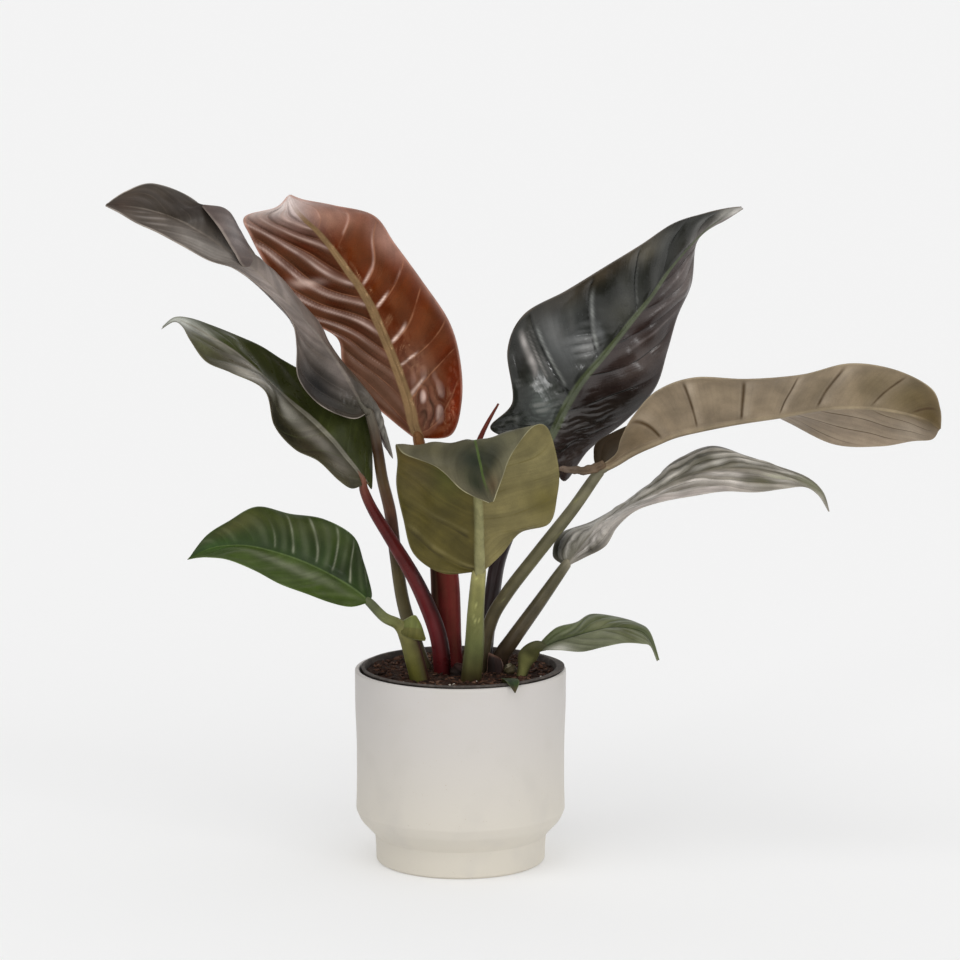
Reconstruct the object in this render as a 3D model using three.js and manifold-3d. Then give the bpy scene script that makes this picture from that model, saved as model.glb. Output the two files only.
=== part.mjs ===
// A potted imperial red philodendron: a cream ceramic cover pot on a stepped-in foot, the thin nursery
// pot inside it with its root ball, and the plant, nine leaves of different ages and one rolled new leaf.
// Millimetres, +Z up, the origin at the middle of the pot's base, the plant seen best along +Y.
import * as THREE from "three";
import Module from "manifold-3d";

const wasm = await Module();
wasm.setup();

// Cover pot
const POT_HEIGHT = 155.6;
const POT_RIM_RADIUS = 83.7;
const POT_WAIST_RADIUS = 82.5;
const POT_SHOULDER_RADIUS = 83.1;
const POT_FOOT_RADIUS = 67.2;
const POT_WALL = 3.6;
const POT_FLOOR = 8;
const FOOT_TOP = 23.2;
const SHOULDER_TOP = 42.6;
const POT_SIDES = 48;

// Nursery pot inside it
const LINER_TOP = 157.6;
const LINER_RIM_RADIUS = 79;
const LINER_LIP = 1.5;
const LINER_SLACK = 3.3;
const LINER_SLACK_SIDE = 0.08;
const LINER_FLOOR_RADIUS = 56;
const LINER_WALL = 1.4;
const LINER_SIDES = 40;
const CLEARANCE = 0.35;

// Root ball
const SOIL_TOP = 153.6;
const SOIL_EDGE_DROP = 0.6;
const SOIL_RELIEF = 1.5;
const SOIL_RINGS = 7;
const SOIL_SECTORS = 30;
const SOIL_CLEARANCE = 0.85;

// Leaves
const BLADE_THICKNESS = 0.8;
const RIB_SHARE = 0.85;
const RIB_AT_TIP = 0.6;
const STEPS_PER_ROW = 2;
const PETIOLE_SIDES = 8;
const PETIOLE_STEPS_PER_POINT = 2;
const ROOTED_DEPTH = 14;
const PETIOLE_END_RADIUS = 2.2;
const PETIOLE_END_DEPTH = 2;
const BLADE_COLUMNS = [0.42, 0.7, 1];
const MOST_RIB_SHARE = 0.4;

const COLOURS = {
  pot: 0xdcd6cc,
  liner: 0x2b2a2a,
  soil: 0x35241c,
  spear: 0x55302a,
  crown: 0x3b2a20,
  stub: 0x6d7562,
  husk: 0x8a6b4c,
};

// Each leaf is lofted over rows from its base to its tip. A row holds the left margin, the midrib and the
// right margin, left and right as seen from the leaf's upper face looking to its tip. The fourth number of
// a margin is how far the wing between it and the midrib bulges towards the upper face. Where a wing rolls
// over, three numbers follow the margin instead: the point in the middle of the wing.
// A petiole is a list of points from the soil up: x, y, z, half its width, half its depth.
const LEAVES = {
  leaf_umber: {
    colour: 0x4b4341,
    rows: [
      [[-72, -17, 362, 0], [-71, -16, 363], [-70, -15, 365, 0]],
      [[-84, -35, 360, -4], [-76, -19, 369], [-53, -5, 324, 6]],
      [[-108, -51, 373, -6], [-83, -23, 381], [-64, -1, 358, 6]],
      [[-124, -60, 395, -7], [-92, -28, 398], [-96, 4, 396, 4]],
      [[-125, -63, 420, -6], [-103, -33, 415], [-104, 3, 412, 3]],
      [[-128, -66, 439, -4], [-114, -38, 430], [-110, 8, 427, 3]],
      [[-140, -73, 456, -3], [-132, -43, 450], [-127, -1, 450, 4]],
      [[-158, -80, 473, -3], [-149, -48, 469], [-146, -14, 470, 6]],
      [[-173, -84, 483, -2], [-164, -52, 482], [-164, -56, 479, -157, -42, 488]],
      [[-190, -84, 488, -2], [-179, -56, 493], [-173, -61, 493, -169, -43, 508]],
      [[-210, -84, 499, -1], [-197, -60, 506], [-186, -62, 514, -182, -47, 525]],
      [[-229, -82, 509, 0], [-217, -64, 518], [-205, -54, 533, 5]],
      [[-245, -80, 516, 0], [-238, -68, 525], [-234, -54, 544, 3]],
      [[-258, -75, 523, 0], [-256, -70, 528], [-254, -64, 539, 1]],
      [[-269, -71, 528, 0], [-269, -71, 529], [-268, -71, 530, 0]],
    ],
    petiole: [
      [-28, 6, 150, 6, 6],
      [-34, 3, 169, 5.7, 5.7],
      [-45, -1, 207, 5.2, 5.2],
      [-51, -5, 247, 4.9, 4.9],
      [-55, -8, 281, 4.7, 4.7],
      [-61, -11, 308, 4.5, 4.5],
      [-64, -13, 328, 4.3, 4.3],
      [-67, -14, 346, 4, 4],
      [-71, -16, 361, 3.6, 3.6],
    ],
  },
  leaf_copper: {
    colour: 0x6f3519,
    rows: [
      [[-36, 8, 338, 0], [-33, 8, 339], [-30, 8, 338, 0]],
      [[-51, 7, 350, 1], [-37, 11, 348], [-7, 15, 340, 3]],
      [[-74, 12, 370, 1], [-41, 16, 365], [1, 23, 365, 6]],
      [[-92, 16, 394, -1], [-49, 21, 388], [0, 32, 396, 8]],
      [[-97, 20, 416, -2], [-60, 27, 415], [-9, 40, 427, 8]],
      [[-123, 22, 433, -2], [-74, 34, 445], [-31, 50, 459, 7]],
      [[-150, 34, 467, -2], [-91, 42, 469], [-52, 57, 487, 6]],
      [[-166, 44, 494, -2], [-109, 50, 492], [-69, 63, 509, 5]],
      [[-171, 52, 509, -1], [-123, 56, 505], [-101, 65, 517, 3]],
      [[-147, 56, 516, 0], [-131, 58, 514], [-124, 60, 522, 0]],
      [[-138, 56, 524, 0], [-136, 56, 526], [-134, 56, 526, 0]],
    ],
    petiole: [
      [-9, 9, 150, 11, 7],
      [-11, 9, 176, 11.5, 7],
      [-13, 9, 230, 11, 6.5],
      [-20, 8, 273, 7, 5.5],
      [-27, 8, 309, 5, 5],
      [-33, 8, 337, 4.4, 4.4],
    ],
  },
  leaf_dark: {
    colour: 0x2f302c,
    rows: [
      [[64, 12, 331, 0], [67, 12, 331], [71, 12, 328, 0]],
      [[24, 9, 345, -3], [72, 14, 339], [82, 20, 302, 2]],
      [[41, 3, 368, -3], [76, 16, 348], [102, 28, 326, 3]],
      [[37, 1, 409, -3], [83, 19, 362], [132, 40, 348, 4]],
      [[50, 3, 437, -3], [96, 23, 382], [155, 47, 373, 5]],
      [[83, 9, 455, -3], [113, 29, 401], [165, 55, 402, 5]],
      [[114, 18, 473, -3], [133, 36, 425], [173, 60, 429, 5]],
      [[142, 28, 489, -2], [150, 43, 445], [184, 65, 454, 4]],
      [[168, 38, 505, -2], [166, 50, 467], [187, 66, 483, 3]],
      [[193, 49, 512, -1], [185, 57, 488], [193, 65, 496, 1]],
      [[210, 59, 515, 0], [203, 62, 504], [209, 65, 504, 0]],
      [[223, 66, 516, 0], [224, 66, 515], [225, 66, 514, 0]],
    ],
    petiole: [
      [18, 15, 150, 6.5, 6.5],
      [21, 15, 184, 6.3, 6.3],
      [25, 14, 211, 6.2, 6.2],
      [31, 13, 244, 6, 6],
      [49, 12, 288, 5.2, 5.2],
      [66, 12, 329, 4.2, 4.2],
    ],
  },
  leaf_tan: {
    colour: 0x82765f,
    rows: [
      [[108, -17, 314, 0], [108, -18, 317], [107, -19, 319, 0]],
      [[105, 2, 325, 2], [120, -20, 323], [121, -28, 331, 0]],
      [[110, 13, 336, 3], [134, -21, 331], [125, -41, 346, 2]],
      [[142, 16, 352, 3], [150, -22, 338], [133, -50, 363, 3]],
      [[164, 19, 363, 4], [167, -23, 345], [151, -55, 384, 3]],
      [[189, 20, 367, 4], [187, -24, 350], [180, -57, 395, 3]],
      [[225, 19, 365, 4], [218, -25, 356], [221, -58, 394, 3]],
      [[257, 11, 351, 4], [250, -27, 361], [263, -55, 397, 3]],
      [[293, -2, 335, 4], [284, -30, 367], [300, -50, 405, 3]],
      [[328, -14, 335, 4], [315, -34, 368], [335, -48, 400, 3]],
      [[352, -27, 341, 3], [341, -39, 365], [363, -48, 386, 2]],
      [[366, -38, 344, 1], [360, -43, 360], [371, -48, 369, 1]],
      [[370, -46, 352, 0], [371, -46, 353], [372, -46, 354, 0]],
    ],
    petiole: [
      [15, -4, 150, 5.6, 5.6],
      [23, -5, 191, 5.4, 5.4],
      [36, -8, 216, 5.2, 5.2],
      [62, -11, 251, 5, 5],
      [88, -14, 285, 4.8, 4.8],
      [107, -18, 313, 4.2, 4.2],
    ],
  },
  leaf_front: {
    colour: 0x6c663f,
    rows: [
      [[19, -61, 245, 0], [15, -62, 244], [11, -61, 244, 0]],
      [[32, -58, 257, -1], [15, -64, 253], [-14, -56, 242, -1]],
      [[47, -56, 274, -1], [15, -68, 269], [-36, -54, 257, -2]],
      [[69, -56, 281, -2], [15, -73, 289], [-44, -55, 285, -2]],
      [[75, -61, 303, -2], [14, -79, 310], [-49, -59, 311, -2]],
      [[76, -69, 326, -2], [13, -86, 332], [-48, -66, 331, -2]],
      [[68, -81, 358, -1], [12, -95, 351], [-49, -78, 346, -1]],
      [[56, -94, 362, 1], [13, -104, 349], [-42, -94, 341, 1]],
      [[40, -109, 344, 1], [16, -112, 336], [-17, -108, 333, 1]],
      [[32, -118, 325, 0], [19, -118, 323], [2, -118, 317, 0]],
      [[26, -122, 309, 0], [25, -122, 309], [22, -122, 308, 0]],
    ],
    petiole: [
      [8, -38, 149, 8.2, 8.2],
      [11, -43, 182, 7.6, 7.6],
      [12, -50, 209, 6.6, 6.6],
      [14, -58, 237, 5.8, 5.8],
      [15, -61, 246, 5, 5],
    ],
  },
  leaf_dusky: {
    colour: 0x33391f,
    rows: [
      [[-75, -27, 307, 0], [-73, -26, 310], [-72, -25, 309, 0]],
      [[-84, -41, 306, -1], [-78, -27, 316], [-69, -20, 303, 0]],
      [[-94, -55, 315, -2], [-87, -29, 327], [-71, -5, 327, -1]],
      [[-109, -63, 331, -3], [-100, -31, 343], [-76, -1, 357, -2]],
      [[-127, -67, 341, -4], [-115, -33, 359], [-96, -1, 378, -2]],
      [[-142, -73, 360, -3], [-129, -35, 371], [-118, -3, 391, -2]],
      [[-149, -79, 388, 2], [-144, -37, 385], [-138, -7, 402, -2]],
      [[-174, -76, 401, 2], [-159, -40, 400], [-155, -14, 414, -2]],
      [[-194, -70, 409, 1], [-174, -42, 413], [-173, -20, 423, -1]],
      [[-206, -64, 424, 0], [-191, -44, 424], [-192, -29, 432, 0]],
      [[-213, -54, 434, 0], [-208, -46, 434], [-208, -40, 439, 0]],
      [[-220, -48, 437, 0], [-220, -46, 438], [-220, -44, 440, 0]],
      [[-230, -46, 431, 0], [-229, -46, 432], [-229, -45, 433, 0]],
    ],
    petiole: [
      [-14, -13, 150, 7, 6],
      [-16, -15, 176, 6.8, 5.6],
      [-21, -17, 196, 6.6, 5.2],
      [-32, -20, 223, 6, 4.8],
      [-43, -22, 244, 5.4, 4.4],
      [-55, -23, 264, 4.8, 4.2],
      [-68, -25, 286, 4.2, 4],
      [-75, -26, 302, 3.6, 3.6],
    ],
  },
  leaf_lower: {
    colour: 0x47592f,
    rows: [
      [[-72, -59, 219, 0], [-71, -58, 220], [-69, -57, 221, 0]],
      [[-84, -75, 219, 0], [-77, -61, 226], [-69, -49, 227, 1]],
      [[-99, -89, 225, -1], [-87, -65, 234], [-75, -43, 248, 2]],
      [[-117, -100, 234, -1], [-102, -70, 244], [-83, -44, 269, 3]],
      [[-137, -107, 243, -1], [-121, -75, 254], [-106, -47, 283, 3]],
      [[-156, -110, 254, -1], [-141, -80, 262], [-132, -52, 288, 3]],
      [[-176, -109, 262, 0], [-162, -85, 268], [-157, -61, 295, 3]],
      [[-191, -104, 263, 0], [-181, -90, 269], [-178, -76, 286, 2]],
      [[-200, -100, 262, 0], [-196, -94, 266], [-194, -88, 277, 1]],
      [[-208, -97, 260, 0], [-208, -97, 260], [-207, -97, 261, 0]],
    ],
    petiole: [
      [-31, -38, 149, 7.5, 6.5],
      [-36, -40, 171, 7.4, 6],
      [-41, -44, 189, 6.8, 5.2],
      [-48, -49, 200, 4.6, 4.2],
      [-59, -55, 207, 3.9, 3.9],
      [-70, -58, 219, 3.4, 3.4],
    ],
  },
  leaf_silver: {
    colour: 0x7f7d73,
    rows: [
      [[82, -11, 240, 0], [83, -12, 240], [85, -13, 240, 0]],
      [[73, -1, 246, 0], [89, -15, 249], [97, -23, 248, 0]],
      [[79, 7, 262, -1], [99, -19, 262], [113, -39, 260, 2]],
      [[104, 13, 271, -1], [112, -23, 276], [122, -53, 278, 2]],
      [[129, 11, 286, 0], [128, -27, 287], [136, -61, 292, 1]],
      [[151, 7, 303, 1], [146, -31, 298], [156, -67, 300, 0]],
      [[174, 1, 324, 2], [166, -35, 310], [179, -71, 305, 0]],
      [[198, -5, 334, 2], [189, -39, 319], [203, -73, 309, 0]],
      [[223, -15, 328, 2], [214, -43, 322], [228, -71, 308, 1]],
      [[246, -27, 322, 1], [239, -47, 320], [249, -67, 310, 1]],
      [[269, -40, 315, 0], [263, -50, 313], [266, -58, 310, 0]],
      [[281, -51, 305, 0], [279, -53, 304], [277, -55, 303, 0]],
      [[286, -54, 290, 0], [286, -54, 290], [285, -54, 290, 0]],
    ],
    petiole: [
      [29, -4, 150, 7, 6.4],
      [32, -5, 165, 6.5, 6.2],
      [42, -8, 181, 6, 6],
      [62, -11, 210, 5.2, 5.2],
      [82, -12, 239, 4, 4],
    ],
  },
  leaf_small: {
    colour: 0x66734f,
    rows: [
      [[61, -29, 180, 0], [63, -30, 177], [65, -31, 176, 0]],
      [[75, -23, 192, 1], [75, -33, 183], [78, -41, 178, 0]],
      [[91, -20, 196, 1], [89, -37, 188], [95, -52, 179, 1]],
      [[103, -22, 203, 1], [103, -42, 193], [112, -62, 185, 1]],
      [[122, -27, 202, 1], [118, -47, 197], [127, -67, 189, 1]],
      [[139, -38, 199, 1], [134, -52, 197], [141, -65, 188, 0]],
      [[148, -50, 194, 0], [145, -56, 192], [148, -61, 185, 0]],
      [[155, -60, 174, 0], [154, -60, 174], [153, -60, 173, 0]],
    ],
    petiole: [
      [48, -19, 150, 4.2, 3.4],
      [50, -21, 160, 4.8, 3.2],
      [53, -25, 170, 7.6, 2.6],
      [60, -29, 178, 5.4, 2.2],
    ],
  },
  old_tip: {
    colour: 0x2f3b25,
    rows: [
      [[36, -50, 157.4, 0], [35, -50, 157.2], [34, -50, 157.4, 0]],
      [[42, -57, 158.8, 0], [37, -58, 158.2], [32, -57, 158.8, 0]],
      [[45, -65, 159.8, 0], [39.5, -66, 159.2], [34, -65, 159.8, 0]],
      [[46, -72, 159.4, 0], [41, -73, 158.8], [36, -72, 159.4, 0]],
      [[45, -77, 156.6, 0], [42, -78, 156], [39, -77.5, 156.6, 0]],
      [[43, -80, 152.4, 0], [42.6, -80, 152.2], [42.2, -80, 152.4, 0]],
    ],
    petiole: [
      [33, -44, 150, 1.6, 1.3],
      [34, -47, 155, 1.5, 1.2],
      [35, -50, 156.6, 1.3, 1.1],
    ],
  },
};

// Pieces fused to a leaf: the open mouth of the lower leaf's sheath, as blade rows, and the rolled near lobe
// at the base of the tan leaf, as a sweep.
const SHEATH_MOUTH = [
  [[-44, -46, 184, 0], [-35, -47, 184], [-26, -44, 190, 1]],
  [[-47, -47, 195, 0], [-38, -48, 197], [-29, -46, 199, 2]],
  [[-48, -46, 203, 0], [-41, -46, 207], [-34, -43, 210, 1]],
];
const ROLLED_LOBE = [
  [112, -21, 322, 2.6, 2.4],
  [101, -27, 318, 2.6, 2.2],
  [89, -30, 318, 2.2, 1.8],
  [77, -30, 320, 1.1, 1],
];

const SPEAR = [
  [-9, 22, 150, 2.8, 2.8],
  [-9, 22, 206, 2.8, 2.8],
  [-6, 20, 240, 2.7, 2.7],
  [3, 14, 296, 2.5, 2.5],
  [16, 8, 339, 2.1, 2.1],
  [30, 6, 366, 0.8, 0.8],
];

// What is left of older growth at the foot: the short stem, a cut petiole and the dry husk beside it.
const CROWN = [
  [1, -19, 150, 8.4, 8],
  [1, -19, 154, 8.6, 8],
  [1, -18.5, 158, 7.4, 7],
  [2, -18, 162, 4.8, 4.4],
];
const STUB = [
  [43, -4, 149, 4.4, 4.4],
  [41, -10, 153.5, 4.6, 4.6],
  [38.6, -17, 158.4, 4.6, 4.6],
];
const HUSK = [
  [27.5, -14.5, 150, 6.3, 1.3],
  [27.5, -15, 157, 6.6, 1.2],
  [27.5, -14.6, 163, 6, 1],
  [26.5, -13.8, 167.5, 4, 0.7],
];

// Uniform Catmull-Rom through a list of points of any length.
function splineAt(points, t) {
  const last = points.length - 1;
  const i = Math.min(Math.floor(t), last - 1);
  const f = t - i;
  const pick = (k) => points[Math.max(0, Math.min(last, k))];
  const [a, b, c, d] = [pick(i - 1), pick(i), pick(i + 1), pick(i + 2)];
  return b.map((_, k) => {
    const bend = 2 * a[k] - 5 * b[k] + 4 * c[k] - d[k];
    const turn = 3 * b[k] - a[k] - 3 * c[k] + d[k];
    return b[k] + 0.5 * f * (c[k] - a[k] + f * (bend + f * turn));
  });
}

const vec = (p) => new THREE.Vector3(p[0], p[1], p[2]);

// A closed solid from shared vertices and triangles, turned outwards if it came inside out.
function closedSolid(vertices, triangles) {
  const make = (tris) =>
    new wasm.Manifold(
      new wasm.Mesh({
        numProp: 3,
        vertProperties: new Float32Array(vertices.flatMap((p) => p.toArray())),
        triVerts: new Uint32Array(tris.flat()),
      }),
    );
  const solid = make(triangles);
  return solid.volume() > 0 ? solid : make(triangles.map(([a, b, c]) => [a, c, b]));
}

// A solid swept along points that hold a position, a half width across the view and a half depth.
function sweptSolid(points, sides, stepsPerPoint, grow = 0) {
  const steps = (points.length - 1) * stepsPerPoint;
  const vertices = [];
  const triangles = [];
  for (let i = 0; i <= steps; i++) {
    const t = i / stepsPerPoint;
    const here = splineAt(points, t);
    const ahead = vec(splineAt(points, Math.min(t + 0.05, points.length - 1)));
    const behind = vec(splineAt(points, Math.max(t - 0.05, 0)));
    const along = ahead.sub(behind).normalize();
    const across = new THREE.Vector3(0, 1, 0).cross(along).normalize();
    const depth = along.clone().cross(across);
    for (let k = 0; k < sides; k++) {
      const angle = (2 * Math.PI * k) / sides;
      vertices.push(
        vec(here)
          .addScaledVector(across, Math.cos(angle) * (here[3] + grow))
          .addScaledVector(depth, Math.sin(angle) * (here[4] + grow)),
      );
    }
  }
  for (let i = 0; i < steps; i++)
    for (let k = 0; k < sides; k++) {
      const a = i * sides + k;
      const b = i * sides + ((k + 1) % sides);
      triangles.push([a, b, b + sides], [a, b + sides, a + sides]);
    }
  for (const [ring, point] of [[0, points[0]], [steps, points.at(-1)]]) {
    const centre = vertices.push(vec(point)) - 1;
    for (let k = 0; k < sides; k++) {
      const a = ring * sides + k;
      const b = ring * sides + ((k + 1) % sides);
      triangles.push(ring ? [a, b, centre] : [b, a, centre]);
    }
  }
  return closedSolid(vertices, triangles);
}

// The five lines that a blade is lofted over: left margin, left wing's middle, midrib, and so on.
function bladeLines(rows) {
  return rows.map(([left, mid, right], i) => {
    const ahead = vec(rows[Math.min(i + 1, rows.length - 1)][1]);
    const along = ahead.sub(vec(rows[Math.max(i - 1, 0)][1]));
    const wingMiddle = (margin, side) => {
      if (margin.length === 6) return margin.slice(3);
      const wing = vec(margin).sub(vec(mid));
      const up = along.clone().cross(wing).normalize().multiplyScalar(-side * margin[3]);
      return vec(mid).addScaledVector(wing, 0.5).add(up).toArray();
    };
    return [left.slice(0, 3), wingMiddle(left, -1), mid, wingMiddle(right, 1), right.slice(0, 3)];
  });
}

// The blade's middle surface at row t and at s from -1 at the left margin to 1 at the right one.
function bladePoint(lines, t, s) {
  const [outer, middle] = s < 0 ? [0, 1] : [4, 3];
  const at = (k) => vec(splineAt(lines.map((line) => line[k]), t));
  const out = Math.abs(s);
  return at(2)
    .multiplyScalar((1 - out) * (1 - 2 * out))
    .addScaledVector(at(middle), 4 * out * (1 - out))
    .addScaledVector(at(outer), out * (2 * out - 1));
}

const mix = ([from, to], f) => from + (to - from) * f;

// A thin closed blade with its midrib as a ridge on the under side, as wide and deep at its base as given.
function bladeSolid(rows, ribWidth, ribDepth) {
  const lines = bladeLines(rows);
  const last = rows.length - 1;
  const steps = last * STEPS_PER_ROW;
  const grid = [];
  for (let i = 0; i <= steps; i++) {
    const t = i / STEPS_PER_ROW;
    const mid = bladePoint(lines, t, 0);
    const ribShare = [-1, 1].map((side) => {
      const width = bladePoint(lines, t, side).distanceTo(mid);
      return Math.min(MOST_RIB_SHARE, mix([ribWidth, RIB_AT_TIP], t / last) / width);
    });
    const columns = [
      ...BLADE_COLUMNS.map((s) => -s).reverse(),
      -ribShare[0],
      0,
      ribShare[1],
      ...BLADE_COLUMNS,
    ];
    grid.push(columns.map((s) => bladePoint(lines, t, s)));
  }
  const across = grid[0].length;
  const normalAt = (i, j) => {
    const pick = (a, b) =>
      grid[THREE.MathUtils.clamp(a, 0, steps)][THREE.MathUtils.clamp(b, 0, across - 1)];
    const along = pick(i + 1, j).clone().sub(pick(i - 1, j));
    const wide = pick(i, j + 1).clone().sub(pick(i, j - 1));
    return wide.cross(along).normalize();
  };
  const upper = [];
  const under = [];
  grid.forEach((line, i) =>
    line.forEach((p, j) => {
      const n = normalAt(i, j);
      const ridge = j === (across - 1) / 2 ? mix([ribDepth, 0], i / steps) : 0;
      upper.push(p.clone().addScaledVector(n, BLADE_THICKNESS / 2));
      under.push(p.clone().addScaledVector(n, -BLADE_THICKNESS / 2 - ridge));
    }),
  );
  const count = upper.length;
  const triangles = [];
  const quad = (a, b, c, d) => triangles.push([a, b, c], [a, c, d]);
  for (let i = 0; i < steps; i++)
    for (let j = 0; j < across - 1; j++) {
      const [a, b] = [i * across + j, (i + 1) * across + j];
      quad(a, b, b + 1, a + 1);
      triangles.push([a + count, b + 1 + count, b + count], [a + count, a + 1 + count, b + 1 + count]);
    }
  for (let i = 0; i < steps; i++)
    for (const [j, flip] of [[0, false], [across - 1, true]]) {
      const [a, b] = [i * across + j, (i + 1) * across + j];
      flip ? quad(a, b, b + count, a + count) : quad(a, a + count, b + count, b);
    }
  for (let j = 0; j < across - 1; j++)
    for (const [i, flip] of [[0, false], [steps, true]]) {
      const a = i * across + j;
      flip ? quad(a, a + count, a + 1 + count, a + 1) : quad(a, a + 1, a + 1 + count, a + count);
    }
  return closedSolid([...upper, ...under], triangles);
}

// The petiole's points with a foot in the soil and, under a blade, a last point that runs into the midrib.
function wholePetiole({ petiole, rows }) {
  const foot = [...petiole[0]];
  foot[2] -= ROOTED_DEPTH;
  if (!rows) return [foot, ...petiole];
  const lines = bladeLines(rows);
  const into = bladePoint(lines, 0.8, 0);
  const sideways = bladePoint(lines, 0.8, 0.2).sub(into);
  const along = bladePoint(lines, 1, 0).sub(bladePoint(lines, 0.6, 0));
  const down = sideways.cross(along).normalize().multiplyScalar(-PETIOLE_END_DEPTH);
  const end = [...into.add(down).toArray(), PETIOLE_END_RADIUS, PETIOLE_END_RADIUS];
  return [foot, ...petiole, end];
}

function mesh(name, solid, colour, roughness = 0.5) {
  const { numProp, vertProperties, triVerts, numVert } = solid.getMesh();
  const positions = new Float32Array(numVert * 3);
  for (let i = 0; i < numVert; i++)
    positions.set(vertProperties.subarray(i * numProp, i * numProp + 3), i * 3);
  const geometry = new THREE.BufferGeometry()
    .setAttribute("position", new THREE.BufferAttribute(positions, 3))
    .setIndex(new THREE.BufferAttribute(triVerts, 1));
  geometry.computeVertexNormals();
  const made = new THREE.Mesh(
    geometry,
    new THREE.MeshStandardMaterial({ color: colour, roughness, metalness: 0 }),
  );
  made.name = name;
  return made;
}

// A solid of revolution round Z from a closed profile of [radius, z] that may touch the axis. A third number
// is how far the point moves out on the slack side.
function turnedSolid(profile, sides) {
  const vertices = [];
  const rings = profile.map(([radius, z, give = 0]) => {
    if (radius === 0) return [vertices.push(new THREE.Vector3(0, 0, z)) - 1];
    return Array.from({ length: sides }, (_, k) => {
      const angle = (2 * Math.PI * k) / sides;
      const out = radius + give * slack(angle);
      return vertices.push(new THREE.Vector3(out * Math.cos(angle), out * Math.sin(angle), z)) - 1;
    });
  });
  const triangles = [];
  rings.forEach((ring, i) => {
    const next = rings[(i + 1) % rings.length];
    for (let k = 0; k < sides; k++) {
      const l = (k + 1) % sides;
      if (ring.length > 1) triangles.push([ring[k], ring[l], next[l % next.length]]);
      if (next.length > 1) triangles.push([ring[k % ring.length], next[l], next[k]]);
    }
  });
  return closedSolid(vertices, triangles);
}

function potSolid() {
  const inner = POT_RIM_RADIUS - POT_WALL;
  return turnedSolid(
    [
      [0, 0],
      [POT_FOOT_RADIUS - 1.2, 0],
      [POT_FOOT_RADIUS, 1.2],
      [POT_FOOT_RADIUS + 0.3, 12],
      [POT_FOOT_RADIUS + 1.6, FOOT_TOP - 2.4],
      [POT_FOOT_RADIUS + 3, FOOT_TOP + 0.8],
      [POT_FOOT_RADIUS + 5.6, FOOT_TOP + 4],
      [POT_SHOULDER_RADIUS - 3.4, FOOT_TOP + 11.4],
      [POT_SHOULDER_RADIUS - 1, SHOULDER_TOP - 3.6],
      [POT_SHOULDER_RADIUS, SHOULDER_TOP],
      [POT_WAIST_RADIUS, SHOULDER_TOP + 21],
      [POT_WAIST_RADIUS, POT_HEIGHT - 58],
      [POT_RIM_RADIUS - 0.1, POT_HEIGHT - 30],
      [POT_RIM_RADIUS, POT_HEIGHT - 1.2],
      [POT_RIM_RADIUS - 1, POT_HEIGHT],
      [inner + 0.8, POT_HEIGHT],
      [inner, POT_HEIGHT - 1],
      [POT_WAIST_RADIUS - POT_WALL, SHOULDER_TOP + 2],
      [POT_FOOT_RADIUS - POT_WALL, FOOT_TOP + 2],
      [POT_FOOT_RADIUS - POT_WALL, POT_FLOOR],
      [0, POT_FLOOR],
    ],
    POT_SIDES,
  );
}

// The nursery pot's outer radius at a height, straight from its floor to its lip.
const linerRadius = (z) =>
  mix([LINER_FLOOR_RADIUS, LINER_RIM_RADIUS - 1.6], (z - POT_FLOOR) / (LINER_TOP - POT_FLOOR));

// The soft lip lies over the cover pot's rim on one side: 1 near +X, 0 round the rest.
const slack = (angle) => Math.max(0, Math.cos(angle - LINER_SLACK_SIDE)) ** 6;

function linerSolid() {
  const floor = POT_FLOOR + CLEARANCE;
  const lipUnder = LINER_TOP - LINER_LIP;
  return turnedSolid(
    [
      [0, floor],
      [linerRadius(floor), floor],
      [linerRadius(lipUnder), lipUnder - 0.2],
      [LINER_RIM_RADIUS, lipUnder, LINER_SLACK],
      [LINER_RIM_RADIUS, LINER_TOP - 0.5, LINER_SLACK],
      [LINER_RIM_RADIUS - 0.6, LINER_TOP, LINER_SLACK],
      [linerRadius(LINER_TOP) - LINER_WALL, LINER_TOP - 0.2],
      [linerRadius(LINER_TOP) - LINER_WALL - 0.4, LINER_TOP - 2.4],
      [linerRadius(floor) - LINER_WALL, floor + LINER_WALL],
      [0, floor + LINER_WALL],
    ],
    LINER_SIDES,
  );
}

// Smooth noise from -1 to 1, a few fixed waves at odd angles.
function relief(x, y) {
  const waves = [
    [0.21, 0.08, 1.3],
    [-0.11, 0.27, 4.1],
    [0.37, -0.19, 2.2],
    [0.05, 0.48, 0.4],
  ];
  return waves.reduce((sum, [a, b, c]) => sum + Math.sin(a * x + b * y + c), 0) / waves.length;
}

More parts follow.
